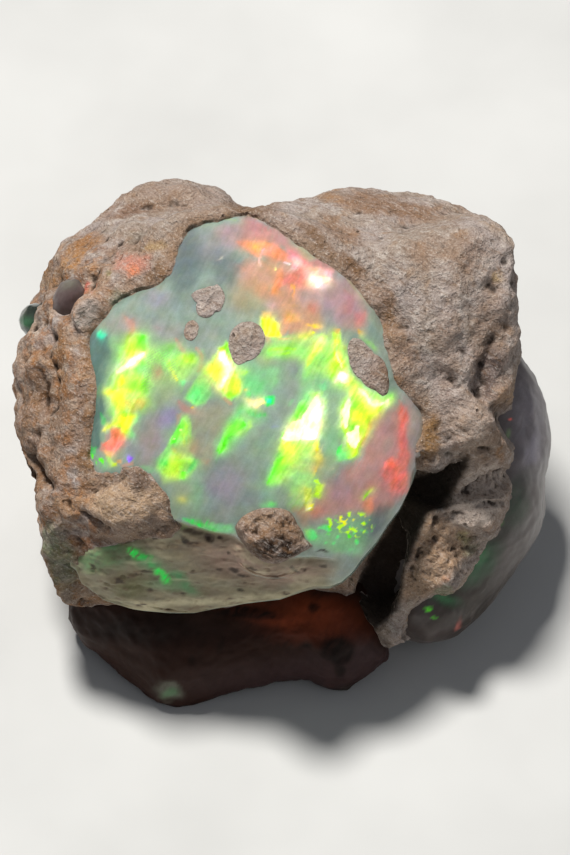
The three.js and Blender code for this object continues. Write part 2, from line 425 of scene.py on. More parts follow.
# The edge of the bare opal, its dome and its lip, clockwise from the top left
OPENING = [
    (176, 258), (180, 244), (187, 231), (196, 225), (207, 222), (222, 220), (233, 215), (246, 213),
    (259, 217), (277, 229), (290, 238), (304, 248), (317, 257), (335, 268), (350, 279), (360, 290),
    (369, 303), (380, 314), (385, 324), (384, 333), (385, 347), (391, 357), (393, 373), (399, 386),
    (410, 397), (419, 408), (426, 419), (424, 431), (417, 443), (415, 458), (416, 471), (412, 483),
    (406, 496), (399, 510), (387, 525), (376, 542), (362, 558), (351, 573), (341, 582), (330, 586),
    (314, 585), (299, 590), (280, 598), (245, 602), (214, 608), (194, 613), (173, 614), (143, 612),
    (118, 608), (104, 600), (92, 590), (82, 583), (77, 570), (78, 556), (90, 550), (104, 548),
    (126, 540), (150, 538), (170, 538), (180, 527), (174, 514), (169, 498), (161, 486), (151, 472),
    (139, 466), (122, 466), (110, 471), (97, 470),
    (90, 457), (90, 437), (93, 419), (96, 392), (94, 373), (90, 357), (87, 342), (90, 329),
    (97, 321), (107, 315), (111, 305), (126, 294), (139, 289), (148, 287), (164, 281), (172, 273),
]
# Where the opal ends in a free edge, above the cleft and the foot, and where rock comes down to it
FREE_EDGE = OPENING[OPENING.index((415, 458)):OPENING.index((77, 570)) + 1]
# The break between the dome and the lip under it
BREAK = [
    (60, 500), (100, 505), (150, 512), (178, 520), (195, 525), (215, 531), (233, 534), (250, 545),
    (275, 556), (310, 556), (345, 558), (375, 553), (400, 540),
]
# Rock grains that lie in the opal
UPPER_GRAIN = [
    (191, 295), (201, 289), (205, 288), (214, 286), (217, 284), (222, 289), (225, 297), (223, 305),
    (220, 311), (215, 312), (210, 317), (205, 318), (198, 315), (196, 308), (197, 303), (193, 299),
]
SMALL_GRAIN = [
    (185, 328), (188, 322), (193, 320), (198, 324), (198, 331), (196, 337), (191, 341), (186, 339),
    (184, 334),
]
CENTRE_GRAIN = [
    (229, 340), (231, 332), (235, 327), (243, 322), (253, 322), (261, 327), (265, 337), (262, 349),
    (255, 358), (247, 361), (238, 365), (234, 362), (231, 354),
]
RIGHT_GRAIN = [
    (349, 342), (353, 338), (360, 339), (368, 347), (374, 354), (381, 358), (386, 366), (388, 376),
    (389, 386), (387, 394), (383, 396), (375, 390), (361, 379), (352, 369), (349, 358),
]
EDGE_LUMP = [
    (235, 527), (241, 518), (253, 511), (271, 508), (290, 512), (297, 524), (305, 539), (313, 546),
    (302, 552), (290, 558), (280, 563), (268, 563), (255, 556), (243, 543),
]
CORNER_LUMP = [
    (94, 471), (110, 470), (122, 465), (139, 466), (151, 471), (161, 486), (169, 498), (174, 514),
    (178, 526), (172, 534), (161, 536), (143, 538), (126, 538), (112, 530), (98, 528), (84, 510), (84, 488),
]

# Where the opal of the foot and of the side is bare of rock
FOOT_BARE = [
    (78, 600), (104, 604), (143, 610), (194, 612), (245, 601), (299, 589), (344, 588), (356, 596),
    (364, 612), (374, 630), (390, 644), (400, 652), (390, 690), (150, 740), (60, 680), (84, 640), (100, 628),
    (88, 612),
]
SIDE_BARE = [
    (529, 362), (526, 378), (522, 392), (513, 402), (498, 408), (495, 416), (502, 433), (515, 450),
    (522, 470), (517, 485), (509, 497), (502, 520), (493, 538), (480, 556), (469, 575), (454, 592),
    (436, 592), (418, 601), (406, 612), (402, 630), (404, 650), (480, 680), (620, 560), (600, 350),
]


# How far the outline on the sheet stands out beyond the solids', in mm, every 4 degrees round the sheet
# from its right-hand side down and on to the left
GIRTH = [
    -0.24, -0.2, -0.18, 0.34, 0.74, 0.72, 0.48, 0.16, 0.06, 0.08, 0.13, 0.33, 0.51, 0.39, -0.06,
    0.43, 1.5, 0.55, 0.08, 0.25, -0.28, -1.33, -1.43, -1.56, -1.42, -1.31, -0.76, -0.3, 0.3, 0.48,
    -0.23, -0.62, -0.73, -0.77, -0.34, 0.19, 0.82, 0.32, -0.07, -0.02, -0.37, -0.28, -0.27, 0.19, 0.3,
    0.18, -0.01, -0.08, 0.06, 0.51, 0.24, -0.36, 0.06, -0.69, -0.66, -0.38, -0.58, -0.88, -0.28, 0.21,
    0.14, 0.04, -0.05, -0.26, -0.08, -0.54, -0.11, 0.02, 0.00, 0.13, 0.25, 0.07, -0.41, -0.52, -0.69,
    -0.78, -0.47, -0.2, 0.2, 0.16, 0.58, 0.31, -0.00, -0.15, -0.35, -0.04, -0.59, -0.69, -0.58, -0.49,
]
GIRTH_MIDDLE = (285, 440)
# The outline's own distance from that middle on the sheet, at the same bearings
GIRTH_SIZE = [
    266, 265, 263, 266, 270, 271, 268, 264, 263, 263, 263, 262, 260, 254, 241,
    234, 240, 245, 251, 259, 252, 241, 240, 242, 248, 254, 263, 277, 288, 293,
    289, 286, 284, 284, 286, 281, 277, 274, 270, 265, 261, 258, 257, 258, 261,
    265, 270, 274, 279, 283, 284, 286, 290, 287, 293, 298, 297, 292, 293, 296,
    294, 289, 282, 271, 256, 237, 236, 236, 239, 244, 254, 261, 266, 269, 274,
    279, 287, 293, 299, 305, 303, 289, 275, 268, 260, 255, 254, 259, 263, 264,
]


# Ridges and creases of the rock: line on the sheet, half width and height in mm
ROCK_LINES = [
    ([(23, 449), (30, 460), (38, 475), (44, 487)], 0.32, -1.2),
    ([(53, 443), (60, 454), (72, 470)], 0.32, -0.7),
    ([(65, 504), (72, 513), (82, 521), (95, 527), (107, 529)], 0.32, -1.2),
    ([(61, 527), (76, 544), (97, 556)], 0.26, -0.8),
    ([(156, 472), (160, 481), (164, 491)], 0.16, -0.9),
    ([(172, 512), (179, 520), (187, 527)], 0.18, -0.9),
    ([(42, 364), (45, 380), (41, 396), (44, 410)], 0.42, -0.9),
    ([(40, 430), (50, 452), (58, 474), (62, 492)], 0.55, 0.4),
    ([(53, 496), (60, 508), (72, 523), (88, 536), (103, 552)], 0.4, 0.65),
    ([(28, 470), (36, 500), (46, 530), (52, 556)], 0.6, 0.35),
    ([(30, 400), (27, 420), (34, 440)], 0.5, 0.4),
    ([(68, 590), (82, 602), (95, 613)], 0.4, 0.55),
    ([(78, 636), (92, 644), (107, 651)], 0.4, 0.5),
    ([(103, 222), (120, 214), (139, 210), (157, 206), (185, 208), (200, 214)], 0.45, -0.55),
    ([(96, 240), (120, 232), (150, 226), (178, 224)], 0.6, 0.35),
    ([(58, 300), (62, 284), (72, 270), (88, 264)], 0.5, 0.6),
    ([(57, 304), (55, 320), (60, 338)], 0.45, 0.5),
    ([(40, 288), (52, 296), (55, 312)], 0.4, 0.4),
    ([(48, 271), (62, 262)], 0.22, -0.3),
    ([(46, 281), (60, 273)], 0.22, -0.3),
    ([(52, 261), (66, 253)], 0.22, -0.25),
    ([(118, 278), (130, 284), (142, 282)], 0.3, -0.25),
    ([(321, 215), (329, 223)], 0.1, -0.7),
    ([(395, 215), (418, 226), (440, 246), (452, 262)], 0.45, -0.25),
    ([(452, 250), (450, 290), (446, 330), (438, 372)], 1.3, 0.4),
    ([(478, 270), (474, 296), (480, 330)], 0.85, -0.22),
    ([(500, 326), (493, 350), (485, 376), (482, 398), (490, 411)], 0.6, -0.85),
    ([(508, 292), (505, 316), (510, 340)], 0.5, -0.25),
    ([(438, 372), (452, 384), (470, 392), (488, 398)], 0.55, -0.45),
    ([(491, 412), (503, 406), (516, 400), (524, 386)], 0.28, -0.9),
    ([(494, 396), (504, 392), (517, 382)], 0.65, 0.5),
    ([(470, 396), (484, 408), (494, 430), (498, 458)], 0.7, 0.55),
    ([(462, 452), (472, 446), (488, 452), (500, 462)], 0.35, -0.45),
    ([(455, 478), (451, 492), (444, 506), (430, 514), (421, 530), (412, 550), (406, 568), (404, 584),
        (398, 606)], 0.4, 0.75),
    ([(462, 500), (480, 492), (500, 478)], 0.3, 0.35),
    ([(452, 520), (474, 510), (500, 498)], 0.3, 0.35),
    ([(440, 532), (458, 528), (486, 520)], 0.3, 0.3),
    ([(456, 530), (470, 526), (490, 528)], 0.2, -0.5),
    ([(84, 600), (110, 617), (150, 625), (192, 624), (232, 617), (282, 608), (340, 598)], 0.8, -1.1),
    ([(416, 395), (428, 410), (434, 428), (427, 446), (424, 466)], 0.45, -0.3),
]
# Lumps and hollows: middle on the sheet, half sizes on the sheet, height in mm
ROCK_LUMPS = [
    ((88, 312), (17, 23), 1.6),
    ((108, 280), (16, 20), 0.35),
    ((131, 502), (40, 34), 0.55),
    ((140, 479), (11, 13), 0.5),
    ((472, 428), (26, 34), 0.7),
    ((428, 460), (20, 16), 0.5),
    ((170, 200), (60, 20), 0.3),
    ((120, 240), (32, 14), 0.2),
    ((503, 300), (14, 40), 0.25),
    ((414, 300), (26, 60), 0.25),
    ((482, 506), (36, 34), 1.3),
    ((436, 570), (24, 30), 0.8),
    ((340, 650), (16, 16), -0.5),
]


# The cleft between the dome's free edge and the tongue of broken tuff; the rock in it is also darkened with
# painted shadow
CLEFT = [
    (413, 482), (424, 477), (441, 473), (452, 466), (466, 461), (460, 474), (452, 484), (442, 503),
    (426, 511), (417, 530), (408, 550), (402, 566), (400, 584), (394, 608), (372, 626), (352, 606),
    (366, 570), (390, 532), (404, 508),
]


def carried(sheet, looking):
    """Raises lines and lumps on the side of the rock that faces the sheet, in mm."""
    facing = ease(-0.05, 0.25, looking)
    lift = np.zeros(len(sheet))
    for line, width, height in ROCK_LINES:
        gap, along = reach(sheet, line)
        taper = 0.35 + 0.65 * np.sin(np.pi * np.clip(along, 0.04, 0.96))
        lift += height * taper * np.exp(-(gap / SHEET_UNIT / width) ** 2)
    for middle, half, height in ROCK_LUMPS:
        lift += height * (1 - ease(0.4, 1.15, oval(sheet, middle, half)))
    lift -= CLEFT_DEPTH * ease(-0.1, 0.7, -outside_by(sheet, CLEFT))
    return lift * facing


def spread_out(piece):
    """Moves the outer part of a piece so that its outline on the sheet is the stone's."""
    points = to_face(places(piece))
    marks = to_sheet(points)
    spoke = marks - np.array(GIRTH_MIDDLE)
    bearing = np.degrees(np.arctan2(spoke[:, 1], spoke[:, 0])) % 360
    size = np.hypot(*spoke.T)
    steps = np.arange(len(GIRTH)) * 360 / len(GIRTH)
    shift = np.interp(bearing, steps, GIRTH, period=360)
    rim = np.interp(bearing, steps, GIRTH_SIZE, period=360)
    share = ease(0.72, 0.97, size / rim)
    points[:, :2] += (spoke / size[:, None]) * (1, -1) * (shift * share)[:, None]
    placed = to_row(points)
    placed[:, 2] = np.maximum(placed[:, 2], 0.0)
    put_places(piece, placed)


# ---------------------------------------------------------------- the opal shapes

ISLANDS = ("island_upper", "island_small", "island_centre", "island_right", "island_edge")

dome = grown("opal_dome", ("opal_window",) + ISLANDS, swell=0.55, grid=0.39, smooth=12, settle=0)
points = to_face(places(dome))
points[:, 2] -= 0.55
put_places(dome, to_row(points))
marks = to_sheet(to_face(middles(dome)))
skin_facing = np.empty(len(dome.data.polygons) * 3, np.float32)
dome.data.polygons.foreach_get("normal", skin_facing)
bare = (skin_facing.reshape(-1, 3) @ OUTWARD > 0.2) & (outside_by(marks, OPENING) < 0.6)
finer(dome, bare, cuts=2)

points = to_face(places(dome))
marks = to_sheet(points)
looking = leanings(dome) @ OUTWARD
below_break = BREAK + [(420, 640), (40, 640)]
lip = ease(0.0, 0.35, -outside_by(marks, below_break)) * ease(0.1, 0.4, looking)
lip *= ease(345, 318, marks[:, 0])
near_break, _ = reach(marks, BREAK)
# The lip is set back a step under the dome's edge and is rough, with pits
step_down = 0.65 * lip * (0.35 + 0.65 * np.exp(-near_break / SHEET_UNIT / 1.6))
roughness = 0.15 * crumbly(points * (0.7, 1.4, 1), 1.8, 3, 11)
roughness += 0.05 * crumbly(points * (1, 2.2, 1), 0.6, 2, 12)
first, second = pebbly(points * (1, 1.6, 1), 1.1, 13)
pits = 1 - ease(0.1, 0.32, first)
lip_lift = lip * (roughness - 0.18 * pits * ease(-0.2, 0.5, lumpy(points, 3.0, 14)))
# The dome is a broken, weathered face: shallow flats that meet in soft edges
flats = 0.1 * lumpy(points, 7.0, 21) + 0.04 * np.abs(lumpy(points, 4.0, 22))
flats += 0.006 * crumbly(points, 0.9, 2, 23)
DOME_CREASES = [
    ([(322, 286), (326, 330), (322, 400), (317, 440), (309, 492)], 1.3, 0.06),
    ([(243, 332), (224, 345), (203, 369), (186, 394), (168, 436), (158, 470)], 1.3, 0.06),
    ([(306, 270), (318, 272), (332, 272)], 0.5, 0.12),
    ([(205, 270), (240, 262), (282, 262)], 0.7, -0.06),
    ([(245, 399), (233, 428), (217, 460)], 0.7, 0.08),
    ([(391, 400), (372, 418), (357, 458)], 0.7, -0.08),
]
for line, width, height in DOME_CREASES:
    gap, _ = reach(marks, line)
    flats += height * np.exp(-gap / SHEET_UNIT / width)
facing = ease(0.15, 0.4, looking)
points[:, 2] += facing * ((1 - lip) * flats - step_down)
points += (leanings(dome) @ FACE) * (lip_lift * facing)[:, None]
# The free edge is a steep broken side
marks = to_sheet(points)
spill = outside_by(marks, OPENING)
foot_mark = nearest(marks, FREE_EDGE)
free = (spill > 0) & (np.abs(np.hypot(*(marks - foot_mark).T) / SHEET_UNIT - spill) < 0.05)
pulled = from_sheet(foot_mark + (marks - foot_mark) * 0.2, points[:, 2])
points[free] = pulled[free]
put_places(dome, to_row(points))
dome_skin = shell(dome)

foot = grown("opal_foot_skin", ("opal_foot",), swell=0.36, grid=0.22, smooth=36, settle=0)
side = grown("opal_side_skin", ("opal_side",), swell=0.36, grid=0.22, smooth=36, settle=0)
lens = grown("opal_lens_skin", ("opal_lens",), swell=0.25, grid=0.12, smooth=8, settle=0)
bead = grown("opal_bead_skin", ("opal_bead",), swell=0.2, grid=0.1, smooth=8, settle=0)
for piece, wave, salt in ((foot, 0.16, 31), (side, 0.1, 32), (lens, 0.14, 33), (bead, 0.05, 34)):
    points = places(piece) / MM
    lift = wave * crumbly(points, 3.0, 3, salt) + 0.3 * wave * crumbly(points, 0.8, 2, salt + 50)
    put_places(piece, (points + leanings(piece) * lift[:, None]) * MM)
spread_out(foot)
spread_out(side)
points = to_face(places(side))
low_left = 1 - ease(0.5, 1.6, oval(to_sheet(points), (418, 622), (34, 26)))
points += np.array((-0.7, -0.7, 0.9)) * low_left[:, None]
put_places(side, to_row(points))
foot_skin = shell(foot)
side_skin = shell(side)

# ---------------------------------------------------------------- the rock

rock = grown(
    "matrix_rock", ("host_rock", "opal_window", "opal_foot", "opal_side", "opal_lens") + ISLANDS[:4],
    swell=0.42, grid=0.25, smooth=12, settle=-0.42,
)
points = to_face(places(rock))
leaning = leanings(rock)
looking = leaning @ OUTWARD
marks = to_sheet(points)
lift = carried(marks + wobble(points, 1.8, 41) * 4.0, looking)
# Coarse lumps all over, crumbs where the tuff is broken, flow bands on the left
broken = 1 - ease(0.4, 1.3, oval(marks, (452, 530), (56, 90)))
corner = 1 - ease(-0.3, 0.8, outside_by(marks, CORNER_LUMP))
broken *= ease(-0.1, 0.2, looking)
unseen = 1 - ease(-0.3, 0.15, looking)
broken = np.maximum(broken, unseen * ease(0.0, 0.5, lumpy(points, 9.0, 43)))
flow = points @ np.array([[0.8, -0.55, 0.2], [0.35, 0.6, 0.7], [-0.5, -0.55, 0.66]])


def stepped(value, steps):
    """A value turned to flat steps with steep sides."""
    level = np.floor(value * steps)
    return (level + ease(0.62, 1.0, value * steps - level)) / steps


def flow_across(points):
    """Places turned so that ledges run across and a little uphill."""
    return points @ np.array([[0.93, -0.37, 0.0], [0.37, 0.93, 0.0], [0.0, 0.0, 1.0]])


border = 1 - ease(0.4, 2.4, np.abs(outside_by(marks, OPENING)))
banded = lumpy(flow * (0.35, 1.6, 1.0), 2.2, 44)
left = 1 - ease(60, 150, marks[:, 0])
lift += 0.2 * crumbly(points, 4.2, 2, 45) + 0.14 * lumpy(points, 1.7, 46) + 0.08 * crumbly(points, 0.9, 2, 47)
lift += 0.3 * left * (1 - corner) * banded + 0.04 * crumbly(points, 0.5, 2, 61)
lift += 0.13 * corner * lumpy(points * (0.3, 1.9, 1.0), 0.8, 64)
first, second = pebbly(points + 0.3 * crumbly(points, 1.2, 2, 62)[:, None], 0.85, 63)
lift += 0.14 * np.maximum(left, 0.5 * border) * (1 - 0.7 * corner) * (0.5 - ease(0.1, 0.55, first))
ledges = crumbly(flow_across(points) * (0.45, 1.7, 1.0), 1.5, 3, 48)
first, second = pebbly(points, 0.9, 49)
lift += broken * (0.32 * ledges + 0.18 * ease(0.5, 0.1, first))
rough_side = np.maximum(1 - ease(70, 170, marks[:, 0]), ease(430, 480, marks[:, 0]))
rough_side = np.maximum(rough_side, unseen)
lift += (0.12 + 0.3 * rough_side) * stepped(crumbly(flow_across(points) * (0.55, 1.3, 1.0), 3.4, 3, 60), 3.0)
first, second = pebbly(points, 2.6, 50)
pocks = (1 - ease(0.06, 0.22, first)) * ease(0.1, 0.5, lumpy(points, 6.0, 51))
lift -= 0.35 * pocks
flat_base = ease(0.2, 1.2, places(rock)[:, 2] / MM)
points = places(rock) / MM + leaning * (lift * flat_base)[:, None]
points[:, 2] = np.maximum(points[:, 2], 0.0)
put_places(rock, points * MM)

spread_out(rock)
points = places(rock)
points[:, 1] -= 0.3 * np.maximum(points[:, 1] - BACK_FROM * MM, 0)
put_places(rock, points)


def sunk_under(points, area, skin, depth, salt):
    """Presses rock under an opal's skin inside an area of the sheet."""
    marks = to_sheet(points)
    gap = outside_by(marks + wobble(points, 0.9, salt) * 2.5, area)
    close = gap < 0.0
    under = np.full(len(points), np.nan)
    under[close] = heights(skin, points[close])
    close &= ~np.isnan(under)
    wanted = under - depth * ease(0.0, 0.3, -gap)
    points[close, 2] = np.minimum(points[close, 2], wanted[close])
    return points


before = places(rock)
points = to_face(before)
looking = evened(rock, leanings(rock), 8) @ OUTWARD
points = sunk_under(points, FOOT_BARE, foot_skin, 0.7, 56)
points = sunk_under(points, SIDE_BARE, side_skin, 0.7, 58)

# The rock ends in a thin edge on the opal, and dips under it inside the outline
turns = np.linspace(0, 1, 600, endpoint=False)
rim_start, rim_step = segments(OPENING, True)
which = (turns * len(OPENING)).astype(int)
rim_place = rim_start[which] + rim_step[which] * (turns * len(OPENING) - which)[:, None]
inward = np.stack([-rim_step[which][:, 1], rim_step[which][:, 0]], axis=1)
inward /= np.hypot(*inward.T)[:, None]
rim_height = heights(dome_skin, from_sheet(rim_place + inward * 3.0, np.full(600, 12.0)))
rim_height = np.where(np.isnan(rim_height), np.nanmean(rim_height), rim_height)
kernel = np.ones(9) / 9
rim_height = np.convolve(np.concatenate([rim_height[-4:], rim_height, rim_height[:4]]), kernel, "valid")

marks = to_sheet(points)
shift = wobble(points, 0.7, 52) * 1.6
gap = outside_by(marks + shift, OPENING)
_, along = reach(marks + shift, OPENING, closed=True)
to_free, _ = reach(marks, FREE_EDGE)
free = ease(0.25, 0.0, to_free / SHEET_UNIT - np.abs(gap))
# Rock on the opal's bare side is drawn in under the opal
film = free * ease(1.7, 0.9, gap) * ease(-1.5, -0.5, gap) * ease(9.0, 7.0, np.abs(points[:, 2] - 12.0))
drawn = (np.array(DOME_MIDDLE, float) - marks) / np.hypot(*(marks - DOME_MIDDLE).T)[:, None]
points[:, :2] += 1.1 * film[:, None] * drawn * (1, -1)
lump = 1 - ease(0.0, 0.8, outside_by(marks, CORNER_LUMP))
under = np.interp(along, turns, rim_height, period=1)
close = (gap < RIM_REACH) & (looking > -0.05) & (points[:, 2] > under - RIM_DEPTH)
covered = close & (gap < 0)
hit = heights(dome_skin, points[covered])
under[covered] = np.where(np.isnan(hit), under[covered], hit)
edge = 0.05 + 0.05 * lumpy(points, 0.8, 54)
lowest = np.maximum(edge, 0.02) * ease(0.0, 0.5, gap) - 0.3 * np.maximum(gap, 0)
highest = 0.03 + 0.36 * np.maximum(gap, 0) + 5.0 * lump + 0.16 * lumpy(points, 1.2, 55)
lowest = lowest * (1 - free) - 9.0 * free
highest = highest * (1 - free) - free * (0.9 - 0.2 * ease(0.6, 2.2, gap))
pressed = np.maximum(0.9 * gap, -1.1)
outer = np.clip(points[:, 2] - under, lowest, np.maximum(highest, lowest))
inner = np.minimum(points[:, 2] - under, np.minimum(pressed, 0.0))
rise = under + np.where(gap > 0, outer, inner)
fade = (1 - ease(1.6, RIM_REACH, gap)) * ease(-0.05, 0.3, looking)
points[close, 2] += ((rise - points[:, 2]) * fade)[close]
put_places(rock, to_row(points))
healed(rock, before, 24)
finish_with(rock, "REMESH", mode="VOXEL", voxel_size=ROCK_CELL * MM, adaptivity=0.0)
single(rock)

# Fine grit on the rebuilt skin, coarser on the broken tongue and none on the thin rim
marks = to_sheet(to_face(places(rock)))
grit = 0.5 + 0.6 * ease(375, 425, marks[:, 0]) * ease(440, 475, marks[:, 1])
grit *= ease(0.15, 0.9, outside_by(marks, OPENING)) * ease(0.2, 0.9, places(rock)[:, 2] / MM)
points = places(rock) / MM
grit *= 0.13 * crumbly(points, 0.75, 3, 71)
put_places(rock, (points + leanings(rock) * grit[:, None]) * MM)

# Each opal lies in a socket of its own shape
for opal in (dome, foot, side, lens, bead):
    cut_with(rock, opal)
spare = ROCK_TRIANGLES / sum(len(face.vertices) - 2 for face in rock.data.polygons)
finish_with(rock, "DECIMATE", ratio=min(1.0, spare))


# ---------------------------------------------------------------- grains of rock in the opal

def grain(name, outline, proud, deep, salt, detail=5, steep=0.0):
    """A lump of rock set in the dome, with that outline where it meets the opal."""
    rim = np.array(outline, float)
    bpy.ops.object.select_all(action="DESELECT")
    bpy.ops.mesh.primitive_ico_sphere_add(subdivisions=detail, radius=1.0, location=(0, 0, 0))
    piece = bpy.context.object
    piece.name = name
    ball = places(piece)
    middle = rim.mean(axis=0)
    spokes = rim - middle
    turns = np.arctan2(spokes[:, 1], spokes[:, 0])
    order = np.argsort(turns)
    across = np.hypot(ball[:, 0], ball[:, 1])
    turn = np.arctan2(ball[:, 1], ball[:, 0])
    spread = np.interp(turn, turns[order], np.hypot(*spokes[order].T), period=2 * math.pi)
    way_out = spread * np.sin(across * math.pi / 2)
    spot = middle + np.stack([np.cos(turn), np.sin(turn)], axis=1) * way_out[:, None]
    flat = from_sheet(spot, np.full(len(spot), 14.0))
    under = heights(dome_skin, flat)
    under = np.where(np.isnan(under), np.nanmean(under), under)
    flat = from_sheet(spot, under)
    crown = np.sqrt(np.maximum(1 - across ** 2, 0))
    bumps = 1 + 0.35 * crumbly(flat, 1.3, 3, salt)
    top = proud * np.minimum(crown ** 2 * 1.5, 1.0) * bumps
    top += 0.05 * crumbly(flat, 0.5, 2, salt + 1) * ease(0, 0.5, crown)
    top *= 1 + steep * (spot[:, 1] - middle[1]) / np.ptp(rim[:, 1])
    flat[:, 2] = under + np.where(ball[:, 2] >= 0, top, -deep * crown)
    put_places(piece, to_row(flat))
    only(piece)
    bpy.ops.object.mode_set(mode="EDIT")
    bpy.ops.mesh.select_all(action="SELECT")
    bpy.ops.mesh.normals_make_consistent(inside=False)
    bpy.ops.object.mode_set(mode="OBJECT")
    return piece


grains = [
    grain("grain_upper", UPPER_GRAIN, 0.16, 1.2, 61),
    grain("grain_small", SMALL_GRAIN, 0.1, 0.9, 62, detail=4),
    grain("grain_centre", CENTRE_GRAIN, 0.12, 1.4, 63),
    grain("grain_right", RIGHT_GRAIN, 0.14, 1.4, 64),
    grain("grain_edge", EDGE_LUMP, 1.15, 2.0, 65, detail=6, steep=0.5),
]
for piece in grains:
    cut_with(dome, piece)


# ---------------------------------------------------------------- the play of colour

# Colours of the opal's fire and body, as seen, and how strongly each glows: a painted glow given as emission
TINTS = {
    "white": ((1.0, 1.0, 0.82), 1.35),
    "cream": ((1.0, 0.97, 0.62), 1.2),
    "blush": ((0.98, 0.76, 0.7), 1.0),
    "lime": ((0.74, 0.98, 0.12), 1.05),
    "yellow": ((0.97, 0.96, 0.1), 1.1),
    "gold": ((1.0, 0.8, 0.2), 1.0),
    "green": ((0.36, 0.95, 0.1), 1.0),
    "emerald": ((0.1, 0.88, 0.3), 0.9),
    "leaf": ((0.6, 0.86, 0.42), 0.7),
    "mist": ((0.54, 0.77, 0.55), 0.5),
    "mint": ((0.42, 0.92, 0.52), 0.7),
    "cyan": ((0.05, 0.93, 0.74), 1.0),
    "red": ((1.0, 0.43, 0.36), 0.9),
    "brick": ((0.87, 0.46, 0.41), 0.7),
    "orange": ((0.92, 0.54, 0.34), 0.75),
    "amber": ((0.97, 0.7, 0.3), 0.9),
    "salmon": ((0.79, 0.58, 0.47), 0.58),
    "pink": ((0.93, 0.53, 0.53), 0.7),
    "rose": ((0.74, 0.51, 0.5), 0.5),
    "dusk": ((0.72, 0.54, 0.51), 0.5),
    "violet": ((0.56, 0.38, 1.0), 0.9),
    "violet_mist": ((0.57, 0.53, 0.66), 0.5),
    "lilac": ((0.58, 0.56, 0.6), 0.45),
    "mauve": ((0.65, 0.55, 0.56), 0.5),
    "slate": ((0.41, 0.46, 0.46), 0.3),
    "teal": ((0.35, 0.47, 0.44), 0.3),
    "ash": ((0.55, 0.61, 0.56), 0.45),
    "sage": ((0.6, 0.66, 0.5), 0.45),
    "sand": ((0.64, 0.61, 0.49), 0.45),
    "rim": ((0.7, 0.65, 0.48), 0.35),
    "rim_grey": ((0.66, 0.61, 0.58), 0.4),
    "lip": ((0.58, 0.53, 0.41), 0.22),
    "lip_pink": ((0.66, 0.54, 0.48), 0.3),
    "lip_pale": ((0.8, 0.76, 0.62), 0.4),
    "lip_olive": ((0.42, 0.42, 0.25), 0.2),
    "lip_green": ((0.36, 0.62, 0.4), 0.3),
    "lip_brown": ((0.42, 0.3, 0.22), 0.05),
    # Dark pits: brown crust, and painted shade in the pits
    "pit_crust_and_shade": ((0.12, 0.08, 0.05), 0.0),
    "side": ((0.42, 0.39, 0.38), 0.06),
    # Painted shade for the side opal's lower part
    "side_low_shade": ((0.21, 0.17, 0.135), 0.02),
    "side_green": ((0.26, 0.42, 0.3), 0.12),
    # The foot's own dark reddish brown, made darker as painted shade under the lip
    "foot": ((0.19, 0.11, 0.08), 0.02),
    # A dark brown, used both as the bead's own colour and as painted shade under the lip on the foot
    "dark_and_shade": ((0.1, 0.065, 0.05), 0.0),
    "foot_mauve": ((0.26, 0.19, 0.19), 0.04),
    "pearl": ((0.42, 0.42, 0.37), 0.1),
    "smoke": ((0.37, 0.33, 0.32), 0.04),
    "bottle": ((0.22, 0.27, 0.23), 0.05),
    # Painted glow of light let through the dome onto the foot
    "painted_orange_glow": ((0.5, 0.22, 0.12), 0.2),
}

# Soft clouds: tint, middle, half sizes, turn in degrees, softness, strength
CLOUDS = [
    ("slate", (186, 262), (20, 36), 15, 0.5, 0.95),
    ("slate", (205, 300), (26, 18), 0, 0.7, 0.5),
    ("lilac", (215, 248), (20, 18), 0, 0.8, 0.6),
    ("slate", (222, 262), (16, 12), 0, 0.8, 0.6),
    ("lilac", (158, 300), (18, 10), 15, 0.7, 0.8),
    ("mauve", (120, 325), (26, 10), -10, 0.8, 0.5),
    ("mauve", (228, 236), (16, 12), 0, 0.8, 0.7),
    ("ash", (325, 306), (6, 26), -3, 0.6, 0.7, 0.55, True),
    ("lilac", (150, 445), (18, 22), 15, 0.6, 0.6),
    ("ash", (146, 462), (16, 14), 0, 0.7, 0.5),
    ("ash", (258, 450), (32, 42), 20, 0.6, 0.9),
    ("mist", (262, 440), (16, 26), 25, 0.8, 0.35, 0.6),
    ("lilac", (224, 482), (20, 15), 0, 0.7, 0.85),
    ("ash", (225, 512), (34, 14), 0, 0.6, 0.7),
    ("mist", (195, 490), (10, 22), 5, 0.8, 0.45, 0.6),
    ("mist", (270, 492), (12, 12), 0, 0.8, 0.4, 0.6),
    ("dusk", (330, 500), (30, 22), 0, 0.5, 0.9),
    ("mauve", (350, 505), (18, 14), 0, 0.7, 0.7),
    ("mist", (340, 540), (30, 11), -8, 0.6, 0.8, 0.6),
    ("slate", (368, 528), (14, 12), -40, 0.6, 0.8),
    ("salmon", (286, 290), (28, 22), 0, 0.8, 0.75),
    ("sand", (240, 296), (16, 18), 0, 0.8, 0.7),
    ("rose", (336, 298), (20, 30), -45, 0.8, 0.7),
    ("leaf", (150, 365), (34, 30), 0, 0.9, 0.5),
    ("mist", (120, 400), (26, 60), 0, 0.9, 0.5),
]
